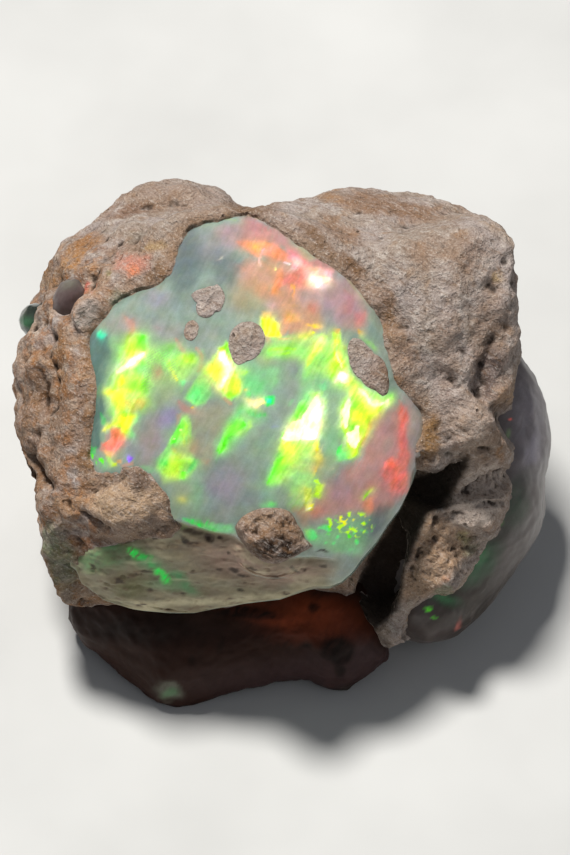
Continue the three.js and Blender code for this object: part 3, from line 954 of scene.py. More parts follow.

# Pieces of fire, and one painted highlight: tint, outline as a run of x and y, edge softness in sheet units,
# strength, and for some where it starts and ends to fade
PLATES = [
    ("teal", [86,335, 95,328, 109,337, 111,353, 106,369, 103,382, 103,395, 105,411, 101,422, 100,448, 88,450,
        87,415, 96,393, 85,348], 2, 0.9),
    ("leaf", [117,344, 134,331, 147,334, 148,360, 150,386, 153,408, 144,412, 129,415, 112,413, 103,395,
        112,378, 116,364], 5.5, 0.95),
    ("leaf", [151,351, 169,342, 184,348, 197,357, 200,365, 191,382, 182,389, 173,382, 162,382, 151,366], 6,
        0.85),
    ("sage", [153,366, 173,373, 182,386, 181,398, 162,400, 153,393], 4, 0.6),
    ("lilac", [155,319, 176,325, 178,337, 162,340, 151,331], 5, 0.7),
    ("mauve", [140,419, 160,413, 161,433, 160,460, 142,466, 134,449, 134,432], 6, 0.45),
    ("violet_mist", [162,411, 172,407, 178,412, 177,423, 169,428, 161,424], 3.5, 0.9),
    ("rose", [178,400, 187,406, 196,408, 196,414, 188,414, 181,411, 177,404], 2, 0.75),
    ("salmon", [177,414, 183,414, 179,423, 176,427], 2, 0.5),
    ("sand", [190,409, 212,400, 229,407, 228,427, 216,455, 207,463, 197,462, 184,449, 191,432], 6, 0.6),
    ("salmon", [191,440, 197,441, 196,452, 191,453], 2.5, 0.45),
    ("salmon", [200,459, 209,460, 208,465, 200,463], 1.5, 0.4),
    ("mist", [240,365, 280,362, 293,376, 280,390, 267,399, 247,392, 236,383], 5, 0.95),
    ("mint", [243,372, 260,375, 267,386, 257,393, 243,386], 4, 0.5),
    ("ash", [280,366, 307,367, 304,386, 292,409, 283,423, 269,432, 250,445, 260,423, 280,392], 4, 0.8),
    ("leaf", [263,344, 326,342, 346,349, 349,380, 338,386, 306,383, 305,365, 292,359, 265,357], 5, 0.9),
    ("mist", [306,380, 329,376, 343,386, 342,400, 338,443, 343,459, 329,476, 319,472, 322,443, 326,406,
        312,393, 300,403], 4, 0.85),
    ("ash", [326,392, 341,392, 340,423, 329,426, 326,409], 3.5, 0.6),
    ("sand", [319,452, 333,452, 341,465, 329,478, 318,476], 4, 0.5),
    ("salmon", [277,310, 323,307, 323,327, 313,334, 300,335, 280,334], 4, 0.85),
    ("dusk", [260,360, 280,362, 279,366, 262,366], 2.5, 0.45),
    ("mist", [244,399, 267,413, 250,429, 237,445, 227,456, 215,461, 222,435, 229,421], 4, 0.7),
    ("salmon", [124,317, 132,318, 138,332, 131,334], 2.5, 0.7),
    ("lime", [121,346, 132,336, 140,344, 144,352, 132,360, 125,361, 119,353], 3, 0.9),
    ("green", [136,336, 145,335, 146,352, 144,363, 140,363, 140,353], 1.8, 0.9),
    ("green", [114,373, 117,375, 129,371, 133,367, 145,360, 145,364, 138,370, 126,376, 116,377], 1.8, 0.75),
    ("lime", [111,378, 131,373, 146,371, 148,382, 138,393, 124,393, 112,389], 4, 0.55),
    ("yellow", [120,374, 125,374, 124,384, 121,386], 1.2, 0.85),
    ("yellow", [103,388, 110,386, 114,392, 108,396, 104,394], 2, 0.6),
    ("green", [141,381, 147,380, 147,392, 139,392, 136,388], 1.6, 0.9),
    ("lime", [128,388, 133,388, 133,393, 129,393], 1.6, 0.6),
    ("yellow", [112,392, 123,390, 126,402, 124,412, 116,411, 112,401], 1.6, 0.85),
    ("amber", [116,404, 121,407, 120,412, 116,410], 1.2, 0.8),
    ("amber", [125,400, 134,402, 143,403, 140,410, 132,417, 128,412], 2.4, 0.7),
    ("yellow", [126,400, 136,402, 134,408, 128,407], 1.8, 0.5),
    ("green", [120,410, 127,412, 125,418, 119,417], 1.2, 0.85),
    ("lime", [114,413, 129,413, 138,414, 132,424, 127,434, 123,436, 121,428, 114,425], 1.6, 0.9),
    ("yellow", [115,421, 119,416, 123,418, 132,415, 135,416, 132,423, 127,433, 123,436, 121,428, 114,425,
        105,431, 101,432, 106,425], 1, 0.95),
    ("mint", [133,419, 140,415, 136,422, 132,428, 136,436, 132,439, 128,437], 1.8, 0.75),
    ("emerald", [101,413, 106,419, 107,425, 102,425], 1.6, 0.5),
    ("red", [110,428, 120,428, 125,437, 123,445, 116,451, 107,451, 102,444, 110,439], 1.3, 0.95),
    ("mauve", [104,434, 110,433, 111,438, 106,441], 1.2, 0.8),
    ("brick", [101,442, 106,443, 107,451, 101,451], 1.4, 0.7),
    ("amber", [103,450, 115,452, 111,458, 106,456], 1.4, 0.8),
    ("lime", [106,456, 110,457, 114,463, 109,465], 1.4, 0.6),
    ("yellow", [112,463, 117,462, 117,466, 112,467], 0.9, 0.95),
    ("amber", [116,460, 121,459, 121,463, 117,463], 1.2, 0.7),
    ("salmon", [120,465, 133,461, 134,465, 123,468], 1.4, 0.8),
    ("violet_mist", [124,443, 133,443, 134,455, 129,453], 2.5, 0.7),
    ("violet", [126,458, 129,454, 133,458, 129,463], 1, 1),
    ("emerald", [89,447, 97,447, 96,453, 90,457], 1.6, 0.6),
    ("mist", [95,453, 105,457, 110,467, 101,473, 95,463], 2.5, 0.7),
    ("ash", [100,456, 105,457, 105,463, 100,462], 1.6, 0.6),
    ("mist", [136,466, 151,465, 159,471, 151,473], 2, 0.6),
    ("cream", [115,372, 121,374, 129,368, 137,365, 145,357, 146,351, 140,352, 131,357, 128,361, 121,365],
        1.2, 0.9),
    ("white", [116,371, 116,373, 121,373, 129,367, 136,364, 136,362, 144,356, 145,352, 140,354, 132,358,
        129,362, 122,366], 0.5, 1),
    ("cyan", [96,333, 101,330, 108,335, 103,339, 98,338], 0.8, 0.95),
    ("lime", [182,354, 193,354, 194,361, 184,362], 2.4, 0.75),
    ("lime", [170,357, 179,356, 181,363, 172,365], 3, 0.6),
    ("lime", [165,359, 170,359, 173,369, 169,369], 1.5, 0.7),
    ("salmon", [151,371, 158,367, 161,373, 158,379, 152,378], 2.4, 0.7),
    ("mint", [180,380, 186,381, 184,386, 180,385], 2, 0.7),
    ("leaf", [226,340, 217,352, 205,366, 196,380, 188,391, 184,399, 196,406, 206,403, 211,392, 209,384,
        220,393, 232,401, 240,393, 234,378, 234,360, 231,348], 1.4, 0.97),
    ("mint", [197,381, 203,384, 205,400, 197,405, 187,398, 189,393], 2.6, 0.85),
    ("emerald", [194,386, 199,388, 198,393, 193,393], 2, 0.45),
    ("green", [196,400, 203,398, 202,404, 196,405], 1.8, 0.55),
    ("yellow", [205,369, 218,359, 222,365, 221,382, 218,387, 211,379, 205,374], 2.4, 0.75),
    ("gold", [212,365, 219,364, 220,371, 218,382, 212,376], 2.2, 0.7),
    ("lime", [218,348, 228,343, 232,360, 235,369, 241,382, 240,394, 230,398, 222,393, 220,388, 229,378,
        229,364], 1.8, 0.9),
    ("green", [220,348, 226,343, 230,352, 228,354, 224,348], 1.4, 0.7),
    ("green", [227,391, 232,391, 234,396, 228,395], 1.4, 0.7),
    ("cream", [218,351, 225,350, 228,357, 231,363, 235,369, 232,374, 229,379, 224,388, 218,390, 220,382,
        224,375, 222,365, 218,357], 1, 0.9),
    ("white", [219,352, 224,351, 227,357, 229,363, 234,369, 230,372, 228,378, 223,386, 220,388, 222,382,
        225,375, 224,365, 220,358], 0.5, 1),
    ("lime", [241,371, 245,370, 248,372, 245,375, 241,375], 1, 0.95),
    ("leaf", [183,416, 189,414, 192,427, 191,438, 188,449, 193,457, 197,461, 196,468, 187,479, 174,481,
        166,480, 156,468, 157,463, 162,453, 169,441, 178,427], 1.5, 0.85),
    ("sand", [173,447, 184,444, 190,455, 182,458, 171,455], 2.5, 0.6),
    ("green", [183,418, 186,423, 183,431, 176,442, 170,444, 173,434], 1.2, 0.9),
    ("lime", [185,420, 188,427, 187,436, 183,433], 1.4, 0.6),
    ("amber", [171,448, 176,448, 177,453, 172,453], 2, 0.45),
    ("lime", [162,470, 173,453, 184,457, 193,459, 192,465, 185,471, 177,480, 168,478], 3.4, 0.6),
    ("yellow", [167,471, 173,463, 182,463, 179,473, 171,478], 2.8, 0.35),
    ("emerald", [159,459, 167,459, 168,465, 160,467], 1.8, 0.8),
    ("green", [181,471, 187,472, 185,480, 180,479], 1.2, 0.9),
    ("lime", [188,459, 194,459, 193,464, 188,463], 1.2, 0.8),
    ("mint", [194,459, 200,461, 191,471, 187,473], 1.6, 0.7),
    ("leaf", [246,399, 243,403, 234,412, 229,422, 222,436, 217,449, 215,459, 222,456, 237,441, 257,421,
        265,413], 2, 0.6, ((229, 422), (255, 438))),
    ("lime", [247,422, 236,436, 226,449, 237,438, 249,426], 3, 0.5),
    ("green", [244,421, 246,425, 236,433, 229,441, 223,451, 218,455, 216,451, 222,438, 229,428, 236,419], 1,
        1),
    ("cyan", [242,408, 246,410, 234,422, 229,423, 233,415], 2, 0.35),
    ("emerald", [243,406, 252,409, 257,413, 266,413, 267,416, 256,417, 247,413], 1.6, 0.6),
    ("emerald", [263,397, 275,395, 274,404, 267,407, 264,403], 1.2, 0.95),
    ("cyan", [265,398, 272,399, 270,404, 266,403], 1, 0.8),
    ("cream", [242,398, 248,398, 256,403, 261,398, 265,402, 265,404, 259,406, 255,410, 251,404], 0.7, 1),
    ("leaf", [254,409, 257,410, 256,416, 254,415], 0.9, 0.8),
    ("emerald", [245,389, 251,393, 250,399, 246,396], 1.3, 0.7),
    ("yellow", [261,316, 272,317, 278,325, 282,337, 272,337, 263,335, 261,324], 1.5, 0.97),
    ("lime", [262,319, 265,320, 265,334, 261,329], 1.2, 0.8),
    ("amber", [263,311, 272,313, 272,319, 264,319], 1.6, 0.8),
    ("salmon", [265,336, 272,339, 269,346, 265,343], 1.6, 0.6),
    ("amber", [285,316, 300,315, 302,322, 286,323], 2.5, 0.55),
    ("leaf", [272,336, 300,334, 323,334, 323,342, 286,343, 269,340], 2, 0.6),
    ("gold", [313,324, 320,324, 320,329, 313,328], 1, 0.95),
    ("lime", [321,334, 327,336, 324,347, 317,351, 313,360, 307,368, 308,357, 313,344], 1.3, 0.95),
    ("cream", [320,337, 324,338, 322,344, 317,347, 316,343], 0.7, 1),
    ("lime", [329,355, 338,357, 351,377, 354,386, 343,389, 332,383, 328,367], 2.6, 0.85),
    ("lime", [332,332, 340,332, 341,343, 341,356, 348,367, 352,377, 343,372, 336,362, 332,355, 333,343], 1.6,
        0.95),
    ("yellow", [334,340, 339,341, 338,353, 343,363, 345,369, 338,360, 334,353], 1.1, 0.95),
    ("amber", [333,329, 339,329, 338,335, 334,334], 1.2, 0.8),
    ("white", [340,371, 345,373, 350,382, 344,384, 338,380, 334,385, 333,382, 337,377], 0.6, 1),
    ("leaf", [341,347, 349,346, 351,365, 345,363], 2.4, 0.6),
    ("mint", [318,386, 326,382, 328,389, 321,392], 2, 0.5),
    ("leaf", [323,392, 309,392, 300,402, 292,416, 284,429, 279,439, 280,443, 292,429, 309,415, 323,400], 2.2,
        0.85),
    ("green", [318,392, 309,393, 300,403, 292,418, 285,429, 280,438, 282,441, 288,430, 298,421, 306,410,
        314,399], 1, 0.95),
    ("lime", [280,441, 286,443, 318,441, 326,405, 327,400, 323,398], 1.2, 0.8),
    ("white", [281,439, 286,442, 300,440, 315,440, 317,438, 321,423, 325,407, 324,405, 321,406, 320,400,
        317,394, 312,399, 307,409, 301,419, 293,422, 286,429], 0.6, 1),
    ("lime", [310,398, 313,399, 310,402, 309,401], 1, 0.8),
    ("cream", [292,423, 299,422, 300,426, 295,431, 289,432], 1.5, 0.8),
    ("lime", [280,442, 319,442, 318,452, 316,466, 309,476, 300,471, 288,480, 273,487, 267,485, 273,469,
        279,452], 1.8, 0.92, ((280, 455), (319, 491))),
    ("yellow", [283,443, 295,443, 292,452, 285,455], 3, 0.5),
    ("lime", [280,446, 300,445, 295,459, 283,469], 3.5, 0.6),
    ("leaf", [298,449, 315,448, 313,465, 300,469], 4, 0.5),
    ("green", [279,451, 284,456, 281,465, 275,481, 271,487, 267,483, 273,468], 1.2, 0.95),
    ("gold", [315,442, 319,442, 319,452, 324,460, 321,462, 318,468, 314,480, 311,480, 315,462, 315,452], 0.9,
        0.9),
    ("yellow", [315,441, 319,441, 319,451, 316,451], 0.8, 0.95),
    ("leaf", [292,479, 306,475, 310,481, 306,491, 293,495, 286,492], 3, 0.7),
    ("sage", [282,475, 292,472, 292,481, 283,485], 2, 0.5),
    ("leaf", [352,385, 369,392, 393,394, 393,400, 375,421, 365,438, 359,454, 351,461, 336,459, 343,443,
        340,426, 341,406, 348,392], 3, 0.8),
    ("lime", [352,386, 356,380, 369,392, 385,398, 393,394, 393,400, 389,404, 381,411, 372,419, 369,429,
        365,438, 359,452, 351,459, 345,458, 348,449, 345,438, 341,426, 341,406, 348,395], 1.5, 0.97),
    ("amber", [376,413, 387,409, 376,422, 369,433, 364,446, 361,445, 366,429, 369,421], 1.8, 0.55),
    ("green", [354,395, 361,399, 364,409, 356,415, 352,412], 2.4, 0.7),
    ("yellow", [362,392, 369,400, 376,409, 371,419, 361,425, 355,419, 365,413, 366,406], 2.4, 0.7),
    ("white", [350,396, 351,400, 349,415, 348,426, 345,429, 343,423, 342,413, 345,403], 0.6, 1),
    ("white", [346,433, 352,431, 356,426, 359,426, 359,441, 356,448, 352,448, 348,442], 0.6, 1),
    ("green", [348,426, 354,424, 354,430, 348,432], 1, 0.85),
    ("cream", [366,396, 372,399, 378,405, 372,408, 369,403], 1, 0.9),
    ("green", [385,396, 394,394, 392,401, 389,400], 1.2, 0.9),
    ("emerald", [337,447, 342,445, 342,452, 337,455], 1, 0.95),
    ("mint", [336,454, 349,451, 348,459, 338,461], 1.8, 0.7),
    ("leaf", [346,446, 352,450, 351,458, 346,456], 1.5, 0.7),
    ("violet_mist", [336,462, 345,461, 341,466], 2, 0.4),
    ("dusk", [378,418, 397,403, 408,415, 411,443, 412,472, 407,494, 379,512, 343,512, 326,498, 338,479,
        343,469, 359,458, 366,441], 4.5, 0.97),
    ("mauve", [329,478, 343,472, 352,484, 343,501, 329,501], 4, 0.7),
    ("brick", [396,400, 406,409, 410,418, 407,429, 408,443, 409,469, 407,491, 398,494, 385,481, 379,472,
        387,462, 397,455, 395,438, 397,423, 394,409], 2.6, 0.9),
    ("red", [397,410, 405,412, 404,429, 397,431], 2.4, 0.5),
    ("red", [384,463, 392,456, 395,465, 390,471, 383,468], 1.8, 0.8),
    ("red", [399,472, 407,469, 407,491, 394,491, 392,484], 3, 0.6),
    ("brick", [369,484, 379,487, 376,495, 365,492], 3, 0.4),
    ("rim_grey", [399,393, 415,400, 428,419, 425,438, 418,458, 412,472, 409,469, 410,443, 410,422, 405,408],
        2.6, 0.85),
    ("rose", [243,219, 255,217, 268,222, 282,231, 293,242, 288,250, 272,243, 254,241, 240,241], 2.6, 0.9),
    ("mauve", [217,227, 229,224, 243,229, 240,242, 226,240], 3, 0.7),
    ("salmon", [237,263, 262,260, 275,269, 273,295, 266,301, 255,293, 241,282], 4.5, 0.85),
    ("sand", [233,285, 260,295, 266,301, 265,312, 250,316, 235,310], 4.5, 0.8),
    ("orange", [237,242, 252,241, 267,241, 275,244, 283,249, 291,256, 292,263, 281,262, 270,258, 263,253,
        261,258, 253,255, 243,248], 1.8, 0.85),
    ("amber", [251,243, 266,242, 263,247, 259,253, 255,251], 1.2, 0.9),
    ("amber", [272,252, 275,253, 275,258, 272,257], 1, 0.8),
    ("salmon", [262,257, 281,260, 291,266, 288,278, 281,288, 276,269], 3, 0.8),
    ("pink", [286,244, 296,248, 305,260, 311,271, 303,273, 291,266, 285,256], 2.4, 0.85),
    ("blush", [291,255, 298,257, 305,266, 302,270, 293,263], 2, 0.6),
    ("brick", [288,271, 298,270, 305,276, 309,288, 303,289, 291,287, 285,281], 2.5, 0.85),
    ("orange", [278,268, 284,270, 282,285, 277,294, 270,296, 273,286, 276,278], 1, 0.95),
    ("salmon", [281,288, 298,289, 307,302, 305,309, 281,308, 267,306], 4, 0.6),
    ("mauve", [298,290, 318,288, 322,306, 308,308, 296,299], 3, 0.6),
    ("brick", [309,299, 318,302, 321,309, 313,312, 308,308], 2.4, 0.65),
    ("blush", [267,304, 274,304, 275,310, 268,310], 2.2, 0.45),
    ("amber", [291,285, 295,286, 295,289, 291,289], 0.9, 0.85),
    ("rim", [298,246, 306,250, 316,259, 308,261, 299,253], 2, 0.8),
    ("rose", [303,262, 321,259, 334,272, 331,278, 309,275], 2.4, 0.85),
    ("mauve", [320,288, 333,278, 348,278, 360,295, 370,308, 365,323, 352,328, 328,323, 323,309], 4, 0.95),
    ("rose", [341,288, 352,296, 352,311, 340,311], 3, 0.7),
    ("brick", [355,309, 368,310, 368,324, 356,324], 2.4, 0.6),
    ("ash", [324,311, 331,309, 333,324, 326,325], 2.4, 0.5),
    ("ash", [368,308, 380,316, 384,338, 374,343, 367,334], 3, 0.7),
    ("rim_grey", [318,286, 321,288, 324,311, 322,321, 319,306], 1.8, 0.6),
    # Painted highlight: a white glint with a blush halo near the top of the dome
    ("blush", [306,270, 318,270, 333,275, 332,281, 325,286, 319,292, 313,288, 308,278], 2.6, 0.6),
    ("white", [309,275, 315,276, 325,277, 331,277, 332,280, 327,282, 321,285, 318,288, 314,285, 311,281],
        0.8, 1),
    ("amber", [335,329, 340,329, 339,334, 335,333], 1, 0.8),
    ("amber", [357,329, 364,332, 362,336, 358,334], 1, 0.85),
    ("lime", [360,335, 364,336, 363,340, 360,339], 0.9, 0.9),
    ("slate", [215,240, 222,244, 241,257, 244,266, 236,282, 222,288, 215,285], 4, 0.6),
    ("sage", [168,479, 195,484, 193,516, 176,516], 5, 0.6),
    ("lilac", [206,479, 246,481, 251,503, 219,508, 201,495], 6, 0.7),
    ("emerald", [183,517, 195,520, 209,525, 219,531, 214,534, 193,525, 182,520], 1.4, 0.75),
    ("mint", [209,523, 233,525, 235,534, 219,534, 206,528], 2, 0.6),
    ("green", [269,502, 277,503, 274,507, 268,505], 1.4, 0.75),
    ("mint", [259,504, 268,503, 278,508, 262,509], 1.6, 0.5),
    ("leaf", [289,471, 310,468, 316,484, 308,511, 294,508, 286,489], 5, 0.65),
    ("lime", [316,483, 324,484, 322,492, 314,495], 1.6, 0.9),
    ("yellow", [304,487, 312,489, 310,500, 305,503], 1.6, 0.85),
    ("yellow", [304,504, 314,503, 313,509, 306,511], 1.2, 0.95),
    ("lime", [316,492, 321,493, 320,499, 313,497], 1.2, 0.8),
    ("salmon", [294,511, 305,508, 308,527, 301,529], 2.6, 0.7),
    ("brick", [305,513, 321,503, 329,511, 313,521], 2.8, 0.5),
    ("orange", [364,500, 373,497, 373,511, 367,517, 363,508], 1.8, 0.9),
    ("brick", [380,484, 396,489, 391,495, 377,491], 2.6, 0.5),
    ("mist", [308,538, 332,532, 364,546, 364,554, 321,551], 3.5, 0.75),
    ("mist", [329,519, 369,516, 368,540, 332,538], 4, 0.7),
    ("slate", [369,516, 385,505, 383,527, 369,540], 3, 0.7),
    ("green", [304,529, 316,532, 316,540, 308,538], 1.2, 0.95),
    ("lime", [306,531, 312,532, 311,536, 307,535], 0.8, 0.9),
]

# Thin strokes: tint, line as a run of x and y, half width in sheet units, strength
STROKES = [
    ("yellow", [169,366, 173,372, 177,380], 1.4, 0.7),
    ("salmon", [176,339, 180,345, 185,353], 2.2, 0.65),
    ("salmon", [196,348, 201,355, 201,364, 198,371], 2, 0.6),
    ("rose", [153,326, 162,330], 1.6, 0.4),
    ("salmon", [205,376, 212,384, 222,394, 231,404], 2.2, 0.7),
    ("yellow", [183,434, 184,447], 1.2, 0.7),
    ("amber", [188,436, 189,447], 0.9, 0.35),
    ("cream", [180,430, 181,431], 0.9, 1),
    ("cream", [174,438, 175,439], 0.9, 1),
    ("gold", [192,407, 194,407], 0.9, 0.9),
    ("gold", [245,390, 247,390], 1.2, 0.95),
    ("violet", [272,427, 280,426], 0.9, 0.5),
    ("mint", [292,400, 289,405], 1.6, 0.3),
    ("yellow", [299,337, 306,336, 313,333], 1.9, 0.95),
    ("gold", [307,324, 315,326, 323,327], 1.4, 0.8),
    ("lime", [269,350, 282,349, 295,349], 1.8, 0.75),
    ("lime", [272,355, 289,353], 1.4, 0.6),
    ("amber", [280,339, 300,338], 1.2, 0.4),
    ("gold", [313,351, 317,350], 1.3, 0.9),
    ("cream", [337,343, 336,355, 340,362, 343,368], 0.9, 1),
    ("amber", [344,346, 346,349], 1.5, 0.5),
    ("lime", [325,407, 322,423, 319,441], 1.1, 0.8),
    ("white", [359,389, 363,393, 367,398, 370,404, 375,406, 381,404, 389,400], 1.7, 1),
    ("yellow", [353,418, 362,418], 1.2, 0.8),
    ("cream", [333,468, 333,469], 1, 0.9),
    ("blush", [260,267, 259,260, 262,253, 265,249], 1.2, 0.75),
    ("blush", [286,275, 288,272, 292,269, 298,269], 1, 0.75),
    ("cream", [275,268, 276,269], 1.2, 1),
    ("blush", [284,263, 290,265], 1, 0.8),
    ("amber", [294,288, 294,295, 294,304], 0.9, 0.8),
    ("amber", [283,305, 291,306, 298,306], 0.8, 0.75),
    ("rim_grey", [319,289, 322,299, 323,311], 1, 0.7),
    ("rim_grey", [352,309, 352,325], 0.9, 0.6),
    ("leaf", [363,339, 370,343, 376,350], 2, 0.8),
    ("rim_grey", [216,260, 220,259, 222,256, 226,255], 1.1, 0.7),
    ("rim_grey", [222,240, 233,245, 244,256], 0.8, 0.5),
    ("sage", [216,219, 226,218, 236,220], 1.2, 0.8),
    ("rim", [255,217, 268,222, 281,229, 298,243, 321,257, 342,271, 354,288, 374,309], 1.4, 0.75),
    ("white", [220,259, 223,257], 0.7, 0.6),
    ("yellow", [180,499, 185,500], 2.4, 0.95),
    ("white", [306,509, 311,507], 0.8, 0.9),
    ("lime", [374,488, 368,493, 363,500], 1.2, 0.95),
]

# Crowds of small sparks: tint, middle, half sizes, share, size in mm, salt
SPARKLES = [
    ("mint", (338, 536), (36, 14), 0.2, 0.7, 125),
    ("green", (346, 528), (30, 14), 0.24, 0.5, 122),
    ("lime", (350, 524), (26, 13), 0.26, 0.4, 123),
    ("yellow", (350, 522), (22, 10), 0.36, 0.34, 124),
    ("lime", (314, 490), (8, 16), 0.3, 0.45, 126),
    ("emerald", (190, 522), (22, 7), 0.18, 0.45, 131),
    ("green", (98, 458), (10, 12), 0.26, 0.5, 134),
]

# The rough lip, on its own, over all the rest
LIP_CLOUDS = [
    ("lip_green", (100, 560), (26, 14), 0, 0.6, 0.6),
    ("lip_pink", (240, 560), (50, 22), 10, 0.7, 0.8),
    ("lip_pink", (300, 575), (40, 12), -10, 0.7, 0.7),
    ("lip_olive", (131, 588), (20, 13), 0, 0.7, 0.8),
    ("lip_brown", (165, 545), (24, 6), 0, 0.7, 0.5),
    ("lip_green", (175, 585), (30, 8), 10, 0.8, 0.5),
    ("lip_pale", (200, 603), (110, 5), -4, 0.8, 0.7),
    ("lip_green", (146, 560), (30, 10), 30, 0.9, 0.6),
    ("emerald", (134, 551), (9, 4), 30, 0.8, 1.0, 0.8),
    ("emerald", (144, 557), (9, 4), 15, 0.8, 1.0, 0.8),
    ("emerald", (159, 571), (7, 4), 10, 0.8, 1.0, 0.8),
    ("emerald", (166, 577), (7, 5), 30, 0.8, 1.0, 0.8),
    ("emerald", (150, 563), (5, 3), 40, 0.9, 0.7, 0.8),
    ("lip_green", (150, 562), (12, 6), 25, 0.8, 0.7),
    ("lip_green", (178, 576), (11, 5), 15, 0.7, 0.9),
    ("lip_green", (190, 587), (9, 4), 15, 0.7, 0.7),
    ("lip_green", (112, 546), (14, 6), 15, 0.7, 0.7),
    # Dark pits along the break and on the lip: crust, and painted shade in the pits
    ("pit_crust_and_shade", (186, 540), (3, 7), -30, 0.5, 0.9),
    ("pit_crust_and_shade", (208, 537), (7, 4), 15, 0.5, 0.95),
    ("pit_crust_and_shade", (192, 530), (12, 3), 20, 0.6, 0.8),
    ("pit_crust_and_shade", (221, 537), (4, 2), 10, 0.5, 0.9),
    ("pit_crust_and_shade", (234, 571), (6, 3), 25, 0.5, 0.95),
    ("pit_crust_and_shade", (243, 577), (5, 2), 10, 0.5, 0.9),
    ("pit_crust_and_shade", (277, 577), (7, 3), 5, 0.5, 0.95),
    ("pit_crust_and_shade", (231, 552), (2, 2), 0, 0.5, 0.8),
    ("pit_crust_and_shade", (151, 588), (4, 2), 0, 0.5, 0.8),
    ("pit_crust_and_shade", (242, 592), (4, 1.5), 0, 0.5, 0.8),
    ("pit_crust_and_shade", (321, 553), (6, 1.2), 5, 0.5, 0.8),
    ("pit_crust_and_shade", (322, 566), (4, 1.5), 10, 0.5, 0.7),
    ("pit_crust_and_shade", (296, 569), (7, 1.6), 25, 0.5, 0.8),
]
SIDE_CLOUDS = [
    ("lilac", (530, 420), (24, 56), 0, 0.8, 0.45),
    # Painted shade: the side opal darkens toward its bottom
    ("side_low_shade", (480, 610), (80, 60), -35, 0.9, 1.0),
    ("foot", (440, 630), (40, 14), 0, 0.9, 0.5),
    ("side_green", (478, 565), (26, 12), -50, 0.9, 0.8),
    ("side_green", (446, 600), (18, 7), 15, 0.9, 0.9),
    ("side_green", (514, 505), (12, 30), 20, 0.9, 0.4),
    ("lip_green", (476, 558), (11, 5), -52, 0.9, 0.5),
    ("lip_green", (442, 598), (11, 4), 15, 0.9, 0.6),
    ("green", (426, 609), (3.4, 2.2), 10, 0.6, 1.0),
    ("green", (435, 616), (3.4, 1.5), 10, 0.8, 0.6),
    ("red", (510, 420), (2.4, 1.8), 0, 0.7, 0.8),
    ("brick", (458, 625), (4, 5), 20, 0.8, 0.5),
    ("leaf", (500, 524), (3, 5), 20, 0.9, 0.5),
    ("leaf", (509, 437), (2, 5), 0, 0.9, 0.3),
    ("lilac", (532, 450), (6, 16), 20, 0.8, 0.7),
]
FOOT_CLOUDS = [
    ("foot_mauve", (300, 675), (110, 22), -8, 0.8, 0.8),
    ("foot_mauve", (366, 660), (26, 30), -35, 0.8, 0.7),
    # Painted shade under the lip along the foot
    ("dark_and_shade", (140, 628), (80, 18), 4, 0.8, 0.8),
    # Painted glow: light let through the dome, shown as orange on the foot
    ("painted_orange_glow", (312, 616), (56, 24), 4, 0.8, 0.8),
    ("painted_orange_glow", (262, 612), (46, 9), 14, 0.8, 0.6),
    ("foot", (268, 630), (40, 8), 0, 0.8, 0.4),
    # Painted shade along the foot's top, under the lip
    ("dark_and_shade", (246, 610), (32, 7), 4, 0.4, 0.95),
    ("dark_and_shade", (338, 648), (17, 18), 0, 0.3, 0.95),
    ("dark_and_shade", (340, 670), (6, 6), 0, 0.5, 0.8),
    ("dark_and_shade", (316, 610), (6, 6), 0, 0.5, 0.8),
    ("dark_and_shade", (195, 666), (6, 5), 0, 0.7, 0.6),
    ("dark_and_shade", (220, 648), (4, 8), 0, 0.7, 0.5),
    ("dark_and_shade", (308, 648), (4, 4), 0, 0.7, 0.7),
    ("pearl", (168, 692), (13, 9), 25, 0.5, 0.9),
    ("lip_green", (168, 695), (7, 4), 0, 0.8, 0.4),
    ("pearl", (345, 694), (9, 7), 0, 0.9, 0.3),
]


LENS_CLOUDS = [
    ("foot_mauve", (66, 300), (20, 24), 20, 0.9, 0.7),
    ("smoke", (60, 290), (8, 14), 25, 0.9, 0.7),
    ("pearl", (70, 284), (10, 6), -20, 0.9, 0.6),
]
BEAD_CLOUDS = [
    ("dark_and_shade", (34, 308), (12, 8), -20, 0.9, 0.6),
    ("side_green", (27, 324), (13, 7), 10, 0.8, 0.9),
    ("pearl", (24, 310), (4, 8), 0, 0.9, 0.5),
]


def light(seen):
    """A colour as seen turned to one that light adds up in."""
    c = np.array(seen, float)
    return np.where(c <= 0.04045, c / 12.92, ((c + 0.055) / 1.055) ** 2.4)


def overlaid(layer, colour, last, mask):
    """Lays a colour, and the value kept beside it, over a layer as strongly as the mask says."""
    layer += (np.array((*light(colour), last)) - layer) * mask[:, None]


